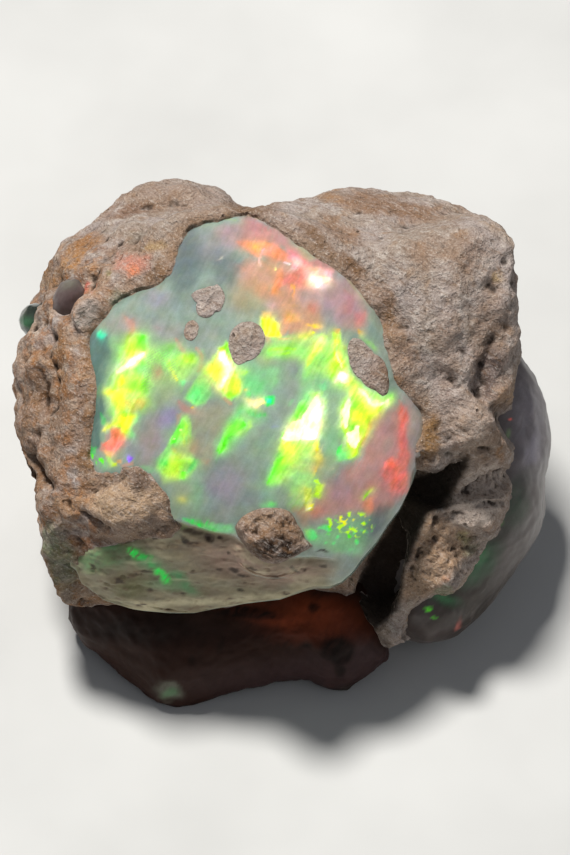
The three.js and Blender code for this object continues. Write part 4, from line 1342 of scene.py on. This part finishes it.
class Coat:
    """Colour and painted glow (emission strength) laid over a skin, one mark after another."""

    def __init__(self, piece, base, wander):
        face = to_face(places(piece))
        plain = to_sheet(face)
        self.face = face
        colour, glow_strength = TINTS[base]
        self.layer = np.tile(np.array((*light(colour), glow_strength)), (len(face), 1))
        loose = plain.copy()
        tight = plain.copy()
        for n, (size, far) in enumerate(wander):
            shift = wobble(face, size, 71 + 2 * n)
            loose += shift * far
            if n > 0:
                tight += shift * far * 0.5
        self.plain = plain
        self.loose = loose
        self.tight = tight
        self.shown = ease(0.0, 0.25, leanings(piece) @ OUTWARD)
        self.grain = self.fibres(62, 26, 3.2, 101)
        self.upper = self.fibres(80, 22, 3.0, 104)
        self.drift = lumpy(face, 1.4, 111) + 0.5 * self.grain
        self.fray = 0.7 * self.fibres(62, 10, 2.2, 107) + 0.5 * lumpy(face, 0.35, 109)

    def fibres(self, angle, length, width, salt):
        """Noise drawn out along a direction of the sheet, in degrees above the level."""
        a = math.radians(angle)
        along = self.loose @ np.array((math.cos(a), -math.sin(a)))
        across = self.loose @ np.array((math.sin(a), math.cos(a)))
        spots = np.stack([along / length, across / width, self.face[:, 2] / 4.0], axis=1)
        return lumpy(spots, 1.0, salt) + 0.5 * lumpy(spots * (1.7, 2.3, 1.0), 1.0, salt + 1)

    def lay(self, tint, mask):
        overlaid(self.layer, *TINTS[tint], np.clip(mask * self.shown, 0, 1))

    def cloud(self, tint, middle, half, turn, soft, strength, streaks=0.35, upright=False):
        """A soft oval with streaky edges."""
        x, y = turned(self.loose - np.array(middle), turn)
        threads = self.upper if upright else self.grain
        ring = np.hypot(x / half[0], y / half[1]) + streaks * 0.45 * threads
        thin = 1 - streaks * ease(-0.1, 0.7, -threads)
        self.lay(tint, strength * thin * (1 - ease(1 - soft, 1 + 0.6 * soft, ring)))

    def lay_near(self, tint, near, mask):
        whole = np.zeros(len(self.face))
        whole[near] = mask
        self.lay(tint, whole)

    def within(self, line, margin):
        """The marks that lie near a line's own extent."""
        low = np.min(line, axis=0) - margin
        high = np.max(line, axis=0) + margin
        return np.all((self.tight > low) & (self.tight < high), axis=1)

    def plate(self, tint, outline, soft, strength, fade=None):
        """A flat piece of fire with frayed edges."""
        near = self.within(outline, 2.5 * soft + 6)
        places_used = self.loose if soft >= 2.4 else self.tight
        gap = outside_by(places_used[near], outline) * SHEET_UNIT
        if soft >= 2.4:
            soft = soft * 1.5
            gap = gap + 0.8 * soft * self.drift[near]
        frayed = gap + self.fray[near] * min(soft, 2.5) * 0.7
        threads = (self.upper if np.mean(outline, axis=0)[1] < 318 else self.grain)[near]
        thin = 1 - min(0.1 * soft, 0.35) * ease(0.0, 0.8, threads)
        if fade:
            start, end = np.array(fade, float)
            way = (self.loose[near] - start) @ (end - start) / ((end - start) @ (end - start))
            thin = thin * (1 - ease(0.0, 1.0, way + 0.15 * threads))
        self.lay_near(tint, near, strength * thin * (1 - ease(-soft, soft, frayed)))

    def stroke(self, tint, line, half, strength):
        """A thin line that tapers at both ends."""
        near = self.within(line, 2.5 * half + 2)
        gap, along = reach(self.tight[near], line)
        width = half * (0.55 + 0.45 * np.sin(np.pi * np.clip(along, 0.1, 0.9)))
        self.lay_near(tint, near, strength * (1 - ease(0.5, 1.6, gap / width + 0.25 * self.fray[near])))

    def spread(self, values, steps):
        """Values evened out along the skin, a little further with every step."""
        count = np.bincount(self.joins.ravel(), minlength=len(values))[:, None].astype(float)
        a, b = self.joins.T
        for _ in range(steps):
            total = np.zeros_like(values)
            for channel in range(values.shape[1]):
                total[:, channel] += np.bincount(a, values[b, channel], len(values))
                total[:, channel] += np.bincount(b, values[a, channel], len(values))
            values = 0.3 * values + 0.7 * total / np.maximum(count, 1)
        return values

    def glow(self, steps, gain):
        """Spreads the colour of bright places into the milky opal around them, a painted glow."""
        bright = ease(0.62, 1.0, self.layer[:, 3]) * (1 - 0.7 * ease(1.15, 1.4, self.layer[:, 3]))
        spread = self.spread(self.layer[:, :3] * bright[:, None], steps)
        self.layer[:, :3] += gain * spread * (1 - 0.7 * bright)[:, None]

    def haze(self, steps, share, salt):
        """Softens the fire in some places and leaves it sharp in others."""
        soft = self.spread(self.layer, steps)
        veil = share * ease(-0.35, 0.45, crumbly(self.face, 2.2, 3, salt) + 0.5 * self.grain)
        veil *= 1 - 0.85 * ease(1.15, 1.5, self.layer[:, 3])
        self.layer += (soft - self.layer) * veil[:, None]

    def dapple(self):
        """Lets the hue and the strength of the colours drift, most where they are bright."""
        bright = 0.25 + 0.75 * ease(0.45, 0.9, self.layer[:, 3])
        for channel, size, far, salt in ((0, 1.5, 0.36, 141), (1, 1.9, 0.14, 144), (2, 1.2, 0.4, 147)):
            drift = crumbly(self.face, size, 3, salt) + 0.5 * self.grain
            self.layer[:, channel] *= np.exp(far * bright * drift)
        patches = crumbly(self.face, 0.9, 3, 151) + 0.6 * self.grain
        strength = np.exp(0.28 * bright * patches - 0.03 * bright)
        self.layer[:, :3] *= strength[:, None]
        self.layer[:, :3] = np.clip(self.layer[:, :3], 0.0, 1.0)


coat = Coat(dome, "ash", ((2.4, 4.0), (0.9, 1.6), (0.35, 0.9)))
for mark in CLOUDS:
    coat.cloud(*mark)
for tint, outline, *how in PLATES:
    coat.plate(tint, paired(outline), *how)
for tint, line, *how in STROKES:
    coat.stroke(tint, paired(line), *how)
edges = np.empty(len(dome.data.edges) * 2, np.int64)
dome.data.edges.foreach_get("vertices", edges)
coat.joins = edges.reshape(-1, 2)
coat.haze(24, 0.75, 161)
coat.haze(6, 0.8, 163)
coat.glow(50, 0.42)
coat.glow(8, 0.15)
# The fire changes hue and strength from place to place
coat.dapple()
for tint, middle, half, share, size, salt in SPARKLES:
    region = 1 - ease(0.4, 1.15, oval(coat.loose, middle, half))
    sparks = lumpy(coat.face, size, salt) + 0.3 * crumbly(coat.face, 2.5 * size, 2, salt + 1)
    coat.lay(tint, 0.95 * ease(share, share + 0.16, sparks) * ease(0.1, 0.6, region))
# Fine scratches across the left flank
scratch_side = 1 - ease(0.5, 1.1, oval(coat.plain, (160, 372), (26, 34)))
slant = coat.plain @ np.array((0.51, 0.86))
lines = ease(0.35, 0.95, np.sin(slant * 2.6 + 1.6 * lumpy(coat.face, 1.5, 81)))
coat.lay("sage", 0.55 * scratch_side * lines)
lip = ease(0.0, 0.25, -outside_by(coat.tight, below_break)) * ease(350, 312, coat.loose[:, 0])
coat.lay("lip", lip * (0.85 + 0.15 * lumpy(coat.face, 1.0, 82)))
for mark in LIP_CLOUDS:
    coat.cloud(*mark)
specks = crumbly(coat.face * (0.7, 1.5, 1.0), 1.1, 3, 83)
mottle = crumbly(coat.face * (0.6, 1.4, 1.0), 2.4, 3, 84)
bare_lip = lip * (1 - ease(0.3, 0.6, coat.layer[:, 3]))
coat.lay("lip_pale", 0.4 * bare_lip * ease(0.1, 0.7, mottle))
coat.lay("lip_brown", 0.3 * bare_lip * ease(0.1, 0.7, -mottle))
coat.lay("lip_brown", 0.45 * bare_lip * ease(0.2, 0.7, specks))
# Dark specks on the lip: crust, and painted shade in pits
coat.lay("pit_crust_and_shade", 0.6 * bare_lip * ease(0.66, 0.85, specks))
note(dome, "fire", coat.layer)
note(dome, "lip", lip)

coat = Coat(side, "side", ((3.0, 6.0), (1.0, 3.0)))
for mark in SIDE_CLOUDS:
    coat.cloud(*mark)
note(side, "fire", coat.layer)
coat = Coat(foot, "foot", ((3.0, 6.0), (1.0, 3.0)))
coat.shown = ease(-0.7, -0.2, leanings(foot) @ OUTWARD)
for mark in FOOT_CLOUDS:
    coat.cloud(*mark)
note(foot, "fire", coat.layer)
for piece, base, marks in ((lens, "smoke", LENS_CLOUDS), (bead, "bottle", BEAD_CLOUDS)):
    coat = Coat(piece, base, ((2.0, 3.0), (0.7, 1.5)))
    for mark in marks:
        coat.cloud(*mark)
    note(piece, "fire", coat.layer)


# ---------------------------------------------------------------- finishes

class Mixture:
    """A material's nodes, added one by one."""

    def __init__(self, name):
        self.material = bpy.data.materials.new(name)
        self.material.use_nodes = True
        self.tree = self.material.node_tree
        self.shader = self.tree.nodes["Principled BSDF"]

    def node(self, kind, **settings):
        made = self.tree.nodes.new(kind)
        for key, value in settings.items():
            setattr(made, key, value)
        return made

    def feed(self, source, target):
        self.tree.links.new(source, target)

    def held(self, socket, value):
        """Sets a socket to a value, or joins it to another socket."""
        if hasattr(value, "links"):
            self.feed(value, socket)
        elif isinstance(value, tuple) and len(value) == 3 and len(socket.default_value) == 4:
            socket.default_value = (*value, 1.0)
        else:
            socket.default_value = value

    def where(self, scale=(1, 1, 1), turn=(0, 0, 0)):
        """Object coordinates in millimetres, stretched and turned."""
        coords = self.node("ShaderNodeTexCoord")
        mapping = self.node("ShaderNodeMapping")
        mapping.inputs["Scale"].default_value = tuple(1000.0 * s for s in scale)
        mapping.inputs["Rotation"].default_value = tuple(math.radians(t) for t in turn)
        self.feed(coords.outputs["Object"], mapping.inputs["Vector"])
        return mapping.outputs["Vector"]

    def along(self, angle, width, length):
        """Places squeezed so that noise is drawn out along the sheet, in degrees above the level."""
        a = math.radians(angle)
        drawn = ACROSS * math.cos(a) + UPHILL * math.sin(a)
        squeezed = ACROSS * math.sin(a) - UPHILL * math.cos(a)
        parts = []
        for direction, size in ((drawn, length), (squeezed, width), (OUTWARD, length)):
            made = self.node("ShaderNodeVectorMath", operation="DOT_PRODUCT")
            self.feed(self.where(), made.inputs[0])
            made.inputs[1].default_value = tuple(float(d) / size for d in direction)
            parts.append(made.outputs["Value"])
        joined = self.node("ShaderNodeCombineXYZ")
        for n, part in enumerate(parts):
            self.feed(part, joined.inputs[n])
        return joined.outputs[0]

    def noise(self, place, size, detail=3.0, rough=0.55, warp=0.0):
        made = self.node("ShaderNodeTexNoise")
        self.feed(place, made.inputs["Vector"])
        made.inputs["Scale"].default_value = 1.0 / size
        made.inputs["Detail"].default_value = detail
        made.inputs["Roughness"].default_value = rough
        made.inputs["Distortion"].default_value = warp
        return made.outputs["Fac"]

    def cells(self, place, size, feature="F1"):
        made = self.node("ShaderNodeTexVoronoi", feature=feature)
        self.feed(place, made.inputs["Vector"])
        made.inputs["Scale"].default_value = 1.0 / size
        return made.outputs["Distance"]

    def span(self, value, low, high, start=0.0, end=1.0):
        """Stretches part of a value's range to another, smoothly and kept inside it."""
        made = self.node("ShaderNodeMapRange", interpolation_type="SMOOTHSTEP")
        self.held(made.inputs["Value"], value)
        made.inputs["From Min"].default_value = low
        made.inputs["From Max"].default_value = high
        made.inputs["To Min"].default_value = start
        made.inputs["To Max"].default_value = end
        return made.outputs["Result"]

    def sum(self, kind, a, b):
        made = self.node("ShaderNodeMath", operation=kind)
        self.held(made.inputs[0], a)
        self.held(made.inputs[1], b)
        return made.outputs[0]

    def mix(self, share, a, b, way="MIX"):
        made = self.node("ShaderNodeMix", data_type="RGBA", blend_type=way)
        self.held(made.inputs["Factor"], share)
        self.held(made.inputs[6], a)
        self.held(made.inputs[7], b)
        return made.outputs[2]

    def kept(self, name, output="Fac"):
        """A value or colour stored on the piece's points."""
        made = self.node("ShaderNodeAttribute", attribute_name=name)
        return made.outputs[output]

    def relief(self, height, strength, distance, under=None):
        made = self.node("ShaderNodeBump")
        made.inputs["Strength"].default_value = strength
        made.inputs["Distance"].default_value = distance * MM
        self.feed(height, made.inputs["Height"])
        if under is not None:
            self.feed(under, made.inputs["Normal"])
        return made.outputs["Normal"]


def linear(*seen):
    """A seen colour as a shader wants it."""
    return tuple(float(c) for c in light(seen))


def rock_mixture():
    """Pale tuff: mottled, stained, gritty and dull, with dark pore spots, and painted shade in its hollows
    and cleft.
    """
    m = Mixture("weathered_tuff")
    place = m.where()
    large = m.noise(place, 4.0, 3.0)
    patch = m.noise(place, 1.6, 4.0, 0.6)
    small = m.noise(place, 0.7, 5.0, 0.65)
    fine = m.noise(place, 0.2, 3.0, 0.6)
    dust = m.noise(place, 0.1, 2.0, 0.5)
    streak = m.noise(m.along(-32, 0.3, 1.5), 1.0, 4.0, 0.6)
    sand = m.cells(place, 0.42)
    crumbs = m.cells(place, 0.3)
    pores = m.cells(m.where(scale=(1.0, 0.6, 1.0), turn=(0, 0, 25)), 1.5)
    tone = m.mix(m.span(large, 0.35, 0.65), linear(0.65, 0.6, 0.575), linear(0.62, 0.56, 0.51))
    tone = m.mix(m.span(patch, 0.52, 0.72, 0.0, 0.7), tone, linear(0.62, 0.51, 0.41))
    tone = m.mix(m.span(small, 0.5, 0.7, 0.0, 0.6), tone, linear(0.8, 0.76, 0.72))
    tone = m.mix(m.span(small, 0.46, 0.3, 0.0, 0.5), tone, linear(0.48, 0.4, 0.33))
    # Stains, with painted shade and painted light, kept on the points
    stain_shade_and_light = m.kept("stain_shade_and_light", "Color")
    share = m.sum("MULTIPLY", m.kept("stain_shade_and_light", "Alpha"), m.span(small, 0.3, 0.6, 0.55, 1.0))
    tone = m.mix(share, tone, stain_shade_and_light)
    tone = m.mix(m.span(streak, 0.54, 0.7, 0.0, 0.42), tone, linear(0.47, 0.35, 0.24))
    tone = m.mix(m.span(streak, 0.44, 0.3, 0.0, 0.35), tone, linear(0.78, 0.74, 0.71))
    tone = m.mix(m.span(fine, 0.47, 0.32, 0.0, 0.45), tone, linear(0.38, 0.31, 0.26))
    tone = m.mix(m.span(fine, 0.54, 0.7, 0.0, 0.35), tone, linear(0.84, 0.8, 0.76))
    tone = m.mix(m.span(dust, 0.45, 0.33, 0.0, 0.22), tone, linear(0.38, 0.29, 0.22))
    tone = m.mix(m.span(sand, 0.06, 0.2, 0.25, 0.0), tone, linear(0.88, 0.84, 0.79))
    brown = m.sum("MULTIPLY", m.span(crumbs, 0.08, 0.22, 0.45, 0.0), m.span(small, 0.52, 0.42))
    tone = m.mix(brown, tone, linear(0.4, 0.26, 0.15))
    spots = m.sum("MULTIPLY", m.span(pores, 0.05, 0.12, 0.8, 0.0), m.span(patch, 0.5, 0.62))
    tone = m.mix(spots, tone, linear(0.22, 0.16, 0.12))
    # Painted shade in the hollows and painted shadow in the cleft
    tone = m.mix(m.span(m.kept("hollow_shade"), 0.0, 1.0, 0.0, 0.95), tone, linear(0.16, 0.12, 0.09))
    m.feed(tone, m.shader.inputs["Base Color"])
    m.shader.inputs["Roughness"].default_value = 0.9
    m.shader.inputs["Specular IOR Level"].default_value = 0.2
    rough = m.relief(small, 1.0, 0.5)
    grit = m.sum("SUBTRACT", fine, m.sum("MULTIPLY", sand, 0.6))
    grit = m.sum("SUBTRACT", grit, m.sum("MULTIPLY", spots, 1.2))
    m.feed(m.relief(grit, 1.0, 0.12, rough), m.shader.inputs["Normal"])
    return m.material


def opal_mixture(name, milk, depth, gloss, glow_strength, wear, dull, polish, sheen):
    """Milky opal that takes its colour, and a painted glow given as emission, from the marks kept on the
    skin.
    """
    m = Mixture(name)
    place = m.where()
    fire = m.kept("fire", "Color")
    power = m.kept("fire", "Alpha")
    fibre = m.noise(m.along(62, 0.28, 2.6), 1.0, 3.0, 0.55)
    speck = m.noise(place, 0.13, 2.0, 0.5)
    cloud = m.noise(place, 1.1, 3.0, 0.5)
    alive = m.sum("MULTIPLY", m.span(fibre, 0.3, 0.7, 0.96, 1.03), m.span(speck, 0.3, 0.7, 0.96, 1.04))
    alive = m.sum("MULTIPLY", alive, m.span(cloud, 0.3, 0.7, 0.92, 1.07))
    skin = m.mix(1.0, fire, alive, "MULTIPLY")
    lip = m.kept("lip")
    m.feed(m.mix(1.0, skin, (dull, dull, dull), "MULTIPLY"), m.shader.inputs["Base Color"])
    # Painted glow: the marked colours are also given out as emission
    m.feed(skin, m.shader.inputs["Emission Color"])
    m.feed(m.sum("MULTIPLY", power, glow_strength), m.shader.inputs["Emission Strength"])
    m.shader.inputs["Subsurface Weight"].default_value = milk
    m.shader.inputs["Subsurface Radius"].default_value = (1.0, 0.8, 0.7)
    m.shader.inputs["Subsurface Scale"].default_value = depth * MM
    m.feed(m.span(lip, 0.2, 0.8, gloss, wear), m.shader.inputs["Roughness"])
    m.shader.inputs["IOR"].default_value = 1.45
    m.shader.inputs["Specular IOR Level"].default_value = sheen
    m.feed(m.span(lip, 0.2, 0.8, polish, 0.0), m.shader.inputs["Coat Weight"])
    m.shader.inputs["Coat Roughness"].default_value = 0.06
    ripple = m.relief(m.noise(place, 1.2, 3.0, 0.5), 0.25, 0.12)
    graze = m.relief(m.noise(place, 0.12, 2.0, 0.5), 0.1, 0.03, ripple)
    m.feed(graze, m.shader.inputs["Normal"])
    return m.material


def floor_mixture():
    """Pale board, faintly clouded."""
    m = Mixture("pale_board")
    place = m.where()
    cloud = m.noise(place, 40.0, 4.0)
    tone = m.mix(m.span(cloud, 0.3, 0.7), linear(0.74, 0.74, 0.73), linear(0.79, 0.79, 0.78))
    m.feed(tone, m.shader.inputs["Base Color"])
    m.shader.inputs["Roughness"].default_value = 0.9
    return m.material


floor_finish = floor_mixture()

# Stains of the rock, and some marks of painted shade in its creases, grooves and under overhangs: colour as
# seen, middle, half sizes on the sheet, turn, strength
STAINS_AND_SHADE = [
    ((0.5, 0.39, 0.3), (38, 430), (26, 80), 0, 0.65),
    ((0.46, 0.4, 0.36), (490, 335), (20, 50), 0, 0.6),
    ((0.5, 0.38, 0.27), (272, 532), (34, 26), 0, 0.9),
    # Painted shade under the edge lump, over its own dark brown underside
    ((0.17, 0.11, 0.07), (278, 550), (32, 12), 12, 1.0),
    ((0.68, 0.57, 0.46), (258, 519), (14, 7), -10, 0.6),
    ((0.74, 0.63, 0.51), (126, 505), (42, 26), 0, 0.9),
    ((0.3, 0.21, 0.14), (140, 479), (10, 13), 5, 0.85),
    # Painted shade in two creases of the corner lump
    ((0.1, 0.07, 0.05), (160, 481), (3, 10), -22, 0.8),
    ((0.1, 0.07, 0.05), (179, 520), (4, 10), -45, 0.8),
    ((0.55, 0.43, 0.34), (390, 208), (60, 10), 10, 0.7),
    ((0.62, 0.42, 0.2), (86, 243), (18, 10), -25, 0.8),
    ((0.68, 0.5, 0.3), (72, 258), (14, 14), 0, 0.6),
    ((0.36, 0.25, 0.17), (54, 268), (8, 10), 0, 0.5),
    ((0.76, 0.7, 0.66), (86, 314), (13, 23), 25, 0.95),
    ((0.42, 0.29, 0.17), (58, 282), (5, 5), 0, 0.7),
    ((0.42, 0.29, 0.17), (50, 292), (5, 4), 0, 0.6),
    ((0.56, 0.42, 0.26), (46, 276), (14, 16), -40, 0.6),
    ((0.44, 0.33, 0.22), (96, 345), (10, 14), 0, 0.6),
    ((0.3, 0.21, 0.13), (40, 382), (6, 18), 0, 0.7),
    ((0.56, 0.41, 0.26), (400, 340), (12, 40), -25, 0.55),
    ((0.54, 0.38, 0.24), (340, 232), (30, 10), 32, 0.6),
    # Painted shade on the dark slope beside the right mass
    ((0.3, 0.27, 0.27), (496, 366), (9, 16), 10, 0.75),
    ((0.78, 0.66, 0.46), (499, 280), (8, 7), 0, 0.7),
    ((0.72, 0.6, 0.46), (508, 398), (14, 6), -20, 0.6),
    ((0.8, 0.52, 0.44), (132, 263), (20, 11), -22, 0.85),
    ((0.92, 0.55, 0.38), (131, 271), (7, 8), 20, 0.8),
    ((0.72, 0.6, 0.38), (157, 247), (14, 6), -15, 0.7),
    ((0.85, 0.42, 0.36), (90, 286), (4, 6), 20, 0.9),
    ((0.6, 0.64, 0.4), (109, 275), (4, 4), 0, 0.6),
    ((0.52, 0.55, 0.48), (120, 300), (14, 9), -30, 0.7),
    ((0.46, 0.48, 0.44), (138, 234), (16, 7), -12, 0.6),
    ((0.6, 0.56, 0.54), (60, 250), (10, 8), 0, 0.3),
    ((0.47, 0.33, 0.24), (140, 208), (44, 6), -14, 0.75),
    ((0.6, 0.51, 0.42), (170, 196), (60, 14), 0, 0.5),
    ((0.45, 0.31, 0.16), (155, 272), (16, 10), -35, 0.7),
    ((0.4, 0.28, 0.16), (250, 207), (30, 5), 5, 0.7),
    ((0.42, 0.29, 0.14), (316, 238), (24, 8), 35, 0.8),
    ((0.45, 0.31, 0.16), (352, 266), (22, 8), 50, 0.8),
    ((0.46, 0.33, 0.2), (386, 306), (9, 24), -20, 0.7),
    ((0.5, 0.34, 0.18), (400, 380), (8, 20), -35, 0.5),
    ((0.46, 0.32, 0.16), (430, 440), (10, 30), 10, 0.6),
    ((0.5, 0.37, 0.26), (392, 205), (60, 12), 12, 0.6),
    ((0.66, 0.48, 0.28), (335, 198), (14, 6), 0, 0.5),
    ((0.52, 0.49, 0.5), (446, 360), (14, 60), 0, 0.35),
    # Painted shade in the groove down the right mass and under the block beside it
    ((0.34, 0.29, 0.28), (488, 372), (9, 34), 6, 0.85),
    ((0.26, 0.2, 0.17), (506, 405), (18, 4), -20, 0.75),
    ((0.7, 0.56, 0.42), (505, 388), (14, 12), -20, 0.5),
    ((0.74, 0.67, 0.61), (474, 426), (22, 30), 0, 0.7),
    ((0.56, 0.42, 0.24), (432, 440), (12, 26), 15, 0.7),
    ((0.5, 0.66, 0.38), (464, 538), (9, 6), -10, 0.85),
    ((0.42, 0.56, 0.42), (470, 548), (12, 7), -30, 0.55),
    ((0.3, 0.6, 0.42), (446, 594), (14, 6), 10, 0.5),
    ((0.78, 0.5, 0.36), (445, 580), (7, 6), 0, 0.6),
    ((0.4, 0.28, 0.18), (440, 556), (12, 6), 25, 0.55),
    ((0.62, 0.42, 0.22), (492, 528), (5, 7), 20, 0.6),
    ((0.62, 0.44, 0.24), (503, 456), (5, 8), 0, 0.6),
    ((0.46, 0.34, 0.22), (84, 470), (10, 24), 0, 0.7),
    ((0.5, 0.35, 0.2), (62, 350), (10, 30), 0, 0.45),
    ((0.52, 0.36, 0.22), (72, 420), (12, 40), -10, 0.45),
    ((0.68, 0.62, 0.57), (18, 360), (8, 24), 0, 0.6),
    ((0.62, 0.5, 0.38), (64, 508), (10, 14), -35, 0.6),
    ((0.45, 0.28, 0.18), (92, 545), (14, 9), 20, 0.7),
    ((0.36, 0.46, 0.36), (60, 560), (16, 36), -12, 0.7),
    ((0.42, 0.5, 0.4), (48, 540), (8, 20), 0, 0.5),
    # Painted shade in the groove under the lip
    ((0.15, 0.1, 0.07), (160, 628), (90, 16), 3, 0.7),
    ((0.55, 0.45, 0.36), (135, 505), (34, 20), 0, 0.35),
    # Painted shade in a crease of the corner lump
    ((0.15, 0.11, 0.08), (172, 512), (5, 18), -20, 0.7),
]


# Broader areas of the rock, the first of them painted light: colour as seen, outline on the sheet, softness
# in mm, strength
AREAS_AND_LIGHT = [
    # Painted light: the tongue made pale as if lit
    ((0.84, 0.78, 0.73), [(466, 468), (500, 460), (510, 480), (505, 506), (492, 528), (470, 532), (446, 524),
        (444, 508), (454, 488)], 0.5, 0.85),
    ((0.74, 0.61, 0.48), [(430, 514), (448, 520), (472, 532), (462, 556), (448, 578), (428, 596), (398, 602),
        (404, 572), (414, 546)], 0.5, 0.7),
]


def stained_and_shaded(piece):
    """Stains, painted shade in hollows and the cleft, and painted light stored on the points of a rock piece.
    """
    spots = places(piece)
    face = to_face(spots)
    sheet = to_sheet(face)
    shift = wobble(face, 2.0, 91) * 6.0
    shift += wobble(face, 0.6, 93) * 4.0
    leaning = leanings(piece)
    shown = ease(-0.1, 0.2, leaning @ OUTWARD)
    rust = ease(0.15, 0.8, crumbly(face, 6.0, 3, 95))
    layer = np.tile(np.array((*light((0.5, 0.34, 0.19)), 0.0)), (len(face), 1))
    layer[:, 3] = 0.45 * rust
    # The left flank is stained in ochre, brown and pale patches
    flank = ease(150, 80, sheet[:, 0]) * ease(225, 260, sheet[:, 1]) * shown
    for colour, size, salt in (
        ((0.7, 0.52, 0.34), 2.6, 171), ((0.8, 0.73, 0.66), 1.7, 172),
        ((0.44, 0.29, 0.18), 1.5, 173), ((0.66, 0.44, 0.24), 0.9, 174),
    ):
        overlaid(layer, colour, 1.0, 0.75 * flank * ease(0.05, 0.45, crumbly(face, size, 3, salt)))
    gap = np.abs(outside_by(sheet + shift * 0.4, OPENING))
    overlaid(layer, (0.5, 0.37, 0.22), 0.9, (1 - ease(0.2, 1.7, gap)) * shown * 0.6)
    for colour, middle, half, turn, strength in STAINS_AND_SHADE:
        x, y = turned(sheet + shift - np.array(middle), turn)
        mask = strength * (1 - ease(0.45, 1.3, np.hypot(x / half[0], y / half[1]))) * shown
        overlaid(layer, colour, 1.0, mask)
    for colour, outline, soft, strength in AREAS_AND_LIGHT:
        mask = strength * (1 - ease(-soft, soft, outside_by(sheet + shift * 0.4, outline))) * shown
        overlaid(layer, colour, 1.0, mask)
    note(piece, "stain_shade_and_light", layer)
    # Painted shade: hollows darken by their depth under the evened skin, and the cleft by painted shadow
    smooth = evened(piece, spots, 14)
    depth = np.sum((smooth - spots) * leaning, axis=1) / MM
    shut = ease(0.1, 0.7, gap) if piece is rock else 1.0
    cleft = ease(0.75, -0.1, outside_by(sheet + shift * 0.4, CLEFT)) * shown
    note(piece, "hollow_shade", np.maximum(0.85 * ease(0.02, 0.16, depth) * shut, cleft))


rock_finish = rock_mixture()
dome_finish = opal_mixture("fiery_opal", 0.3, 1.2, 0.16, 0.41, 0.62, 0.8, 0.6, 0.5)
potch_finish = opal_mixture("clouded_opal", 0.5, 2.0, 0.42, 0.35, 0.6, 1.0, 0.1, 0.35)
dark_finish = opal_mixture("smoky_opal", 0.3, 1.5, 0.55, 0.35, 0.6, 1.0, 0.0, 0.12)
for piece in [rock] + grains:
    stained_and_shaded(piece)
    piece.data.materials.clear()
    piece.data.materials.append(rock_finish)
for piece, finish in (
    (dome, dome_finish), (bead, dome_finish), (side, potch_finish), (lens, potch_finish), (foot, dark_finish),
):
    piece.data.materials.clear()
    piece.data.materials.append(finish)
for piece in [rock, dome, foot, side, lens, bead] + grains:
    piece.data.polygons.foreach_set("material_index", np.zeros(len(piece.data.polygons), np.int32))


# ---------------------------------------------------------------- what each piece stands for

PIECES = (
    (rock, "host_rock", "host_rock"),
    (dome, "opal_window", "precious_opal"),
    (foot, "opal_foot", "common_opal"),
    (side, "opal_side", "common_opal"),
    (lens, "opal_lens", "common_opal"),
    (bead, "opal_bead", "precious_opal"),
    (grains[0], "island_upper", "host_rock"),
    (grains[1], "island_small", "host_rock"),
    (grains[2], "island_centre", "host_rock"),
    (grains[3], "island_right", "host_rock"),
    (grains[4], "island_edge", "host_rock"),
)
for piece, node, slot in PIECES:
    only(piece)
    bpy.ops.object.shade_smooth_by_angle(angle=CREASE_ANGLE)
    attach(piece, "root")
    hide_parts(node)


# ---------------------------------------------------------------- floor, light and camera

bpy.ops.object.select_all(action="DESELECT")
bpy.ops.mesh.primitive_plane_add(size=3.0, location=(0, 0, 0))
floor = bpy.context.object
floor.name = "floor"
floor.data.materials.append(floor_finish)


def lamp(name, azimuth, elevation, distance, size, energy, colour=(1, 1, 1), glossy=True):
    """A round soft box that looks at the stone. Azimuth 0 is behind it and 90 to its right."""
    a = math.radians(azimuth)
    e = math.radians(elevation)
    towards = Vector((math.sin(a) * math.cos(e), math.cos(a) * math.cos(e), math.sin(e)))
    light = bpy.data.lights.new(name, "AREA")
    light.shape = "DISK"
    light.size = size
    light.energy = energy
    light.color = colour
    box = bpy.data.objects.new(name, light)
    box.location = towards * distance + Vector((0, 0, 0.015))
    box.rotation_euler = towards.to_track_quat("Z", "Y").to_euler()
    box.visible_glossy = glossy
    bpy.context.collection.objects.link(box)


lamp("key", -48, 76, 0.6, 0.11, 5.4, (1.0, 0.98, 0.95), glossy=False)
lamp("fill", 150, 45, 0.8, 0.6, 0.4, (0.93, 0.96, 1.0))

world = bpy.data.worlds.new("studio")
bpy.context.scene.world = world
world.use_nodes = True
world.node_tree.nodes["Background"].inputs["Color"].default_value = (0.85, 0.9, 1.0, 1)
world.node_tree.nodes["Background"].inputs["Strength"].default_value = 0.16

camera = bpy.data.cameras.new("camera")
camera.sensor_width = 36.0
camera.lens = camera.sensor_width * STAND_OFF / (SHEET_SIZE[1] / SHEET_UNIT)
camera.clip_start = 0.01
camera.clip_end = 20.0
stand = bpy.data.objects.new("camera", camera)
stand.location = Vector(to_row(np.array([AIM]))[0]) + Vector(OUTWARD) * STAND_OFF * MM
stand.rotation_euler = Vector(OUTWARD).to_track_quat("Z", "Y").to_euler()
bpy.context.collection.objects.link(stand)
bpy.context.scene.camera = stand
bpy.context.scene.view_settings.view_transform = "Standard"
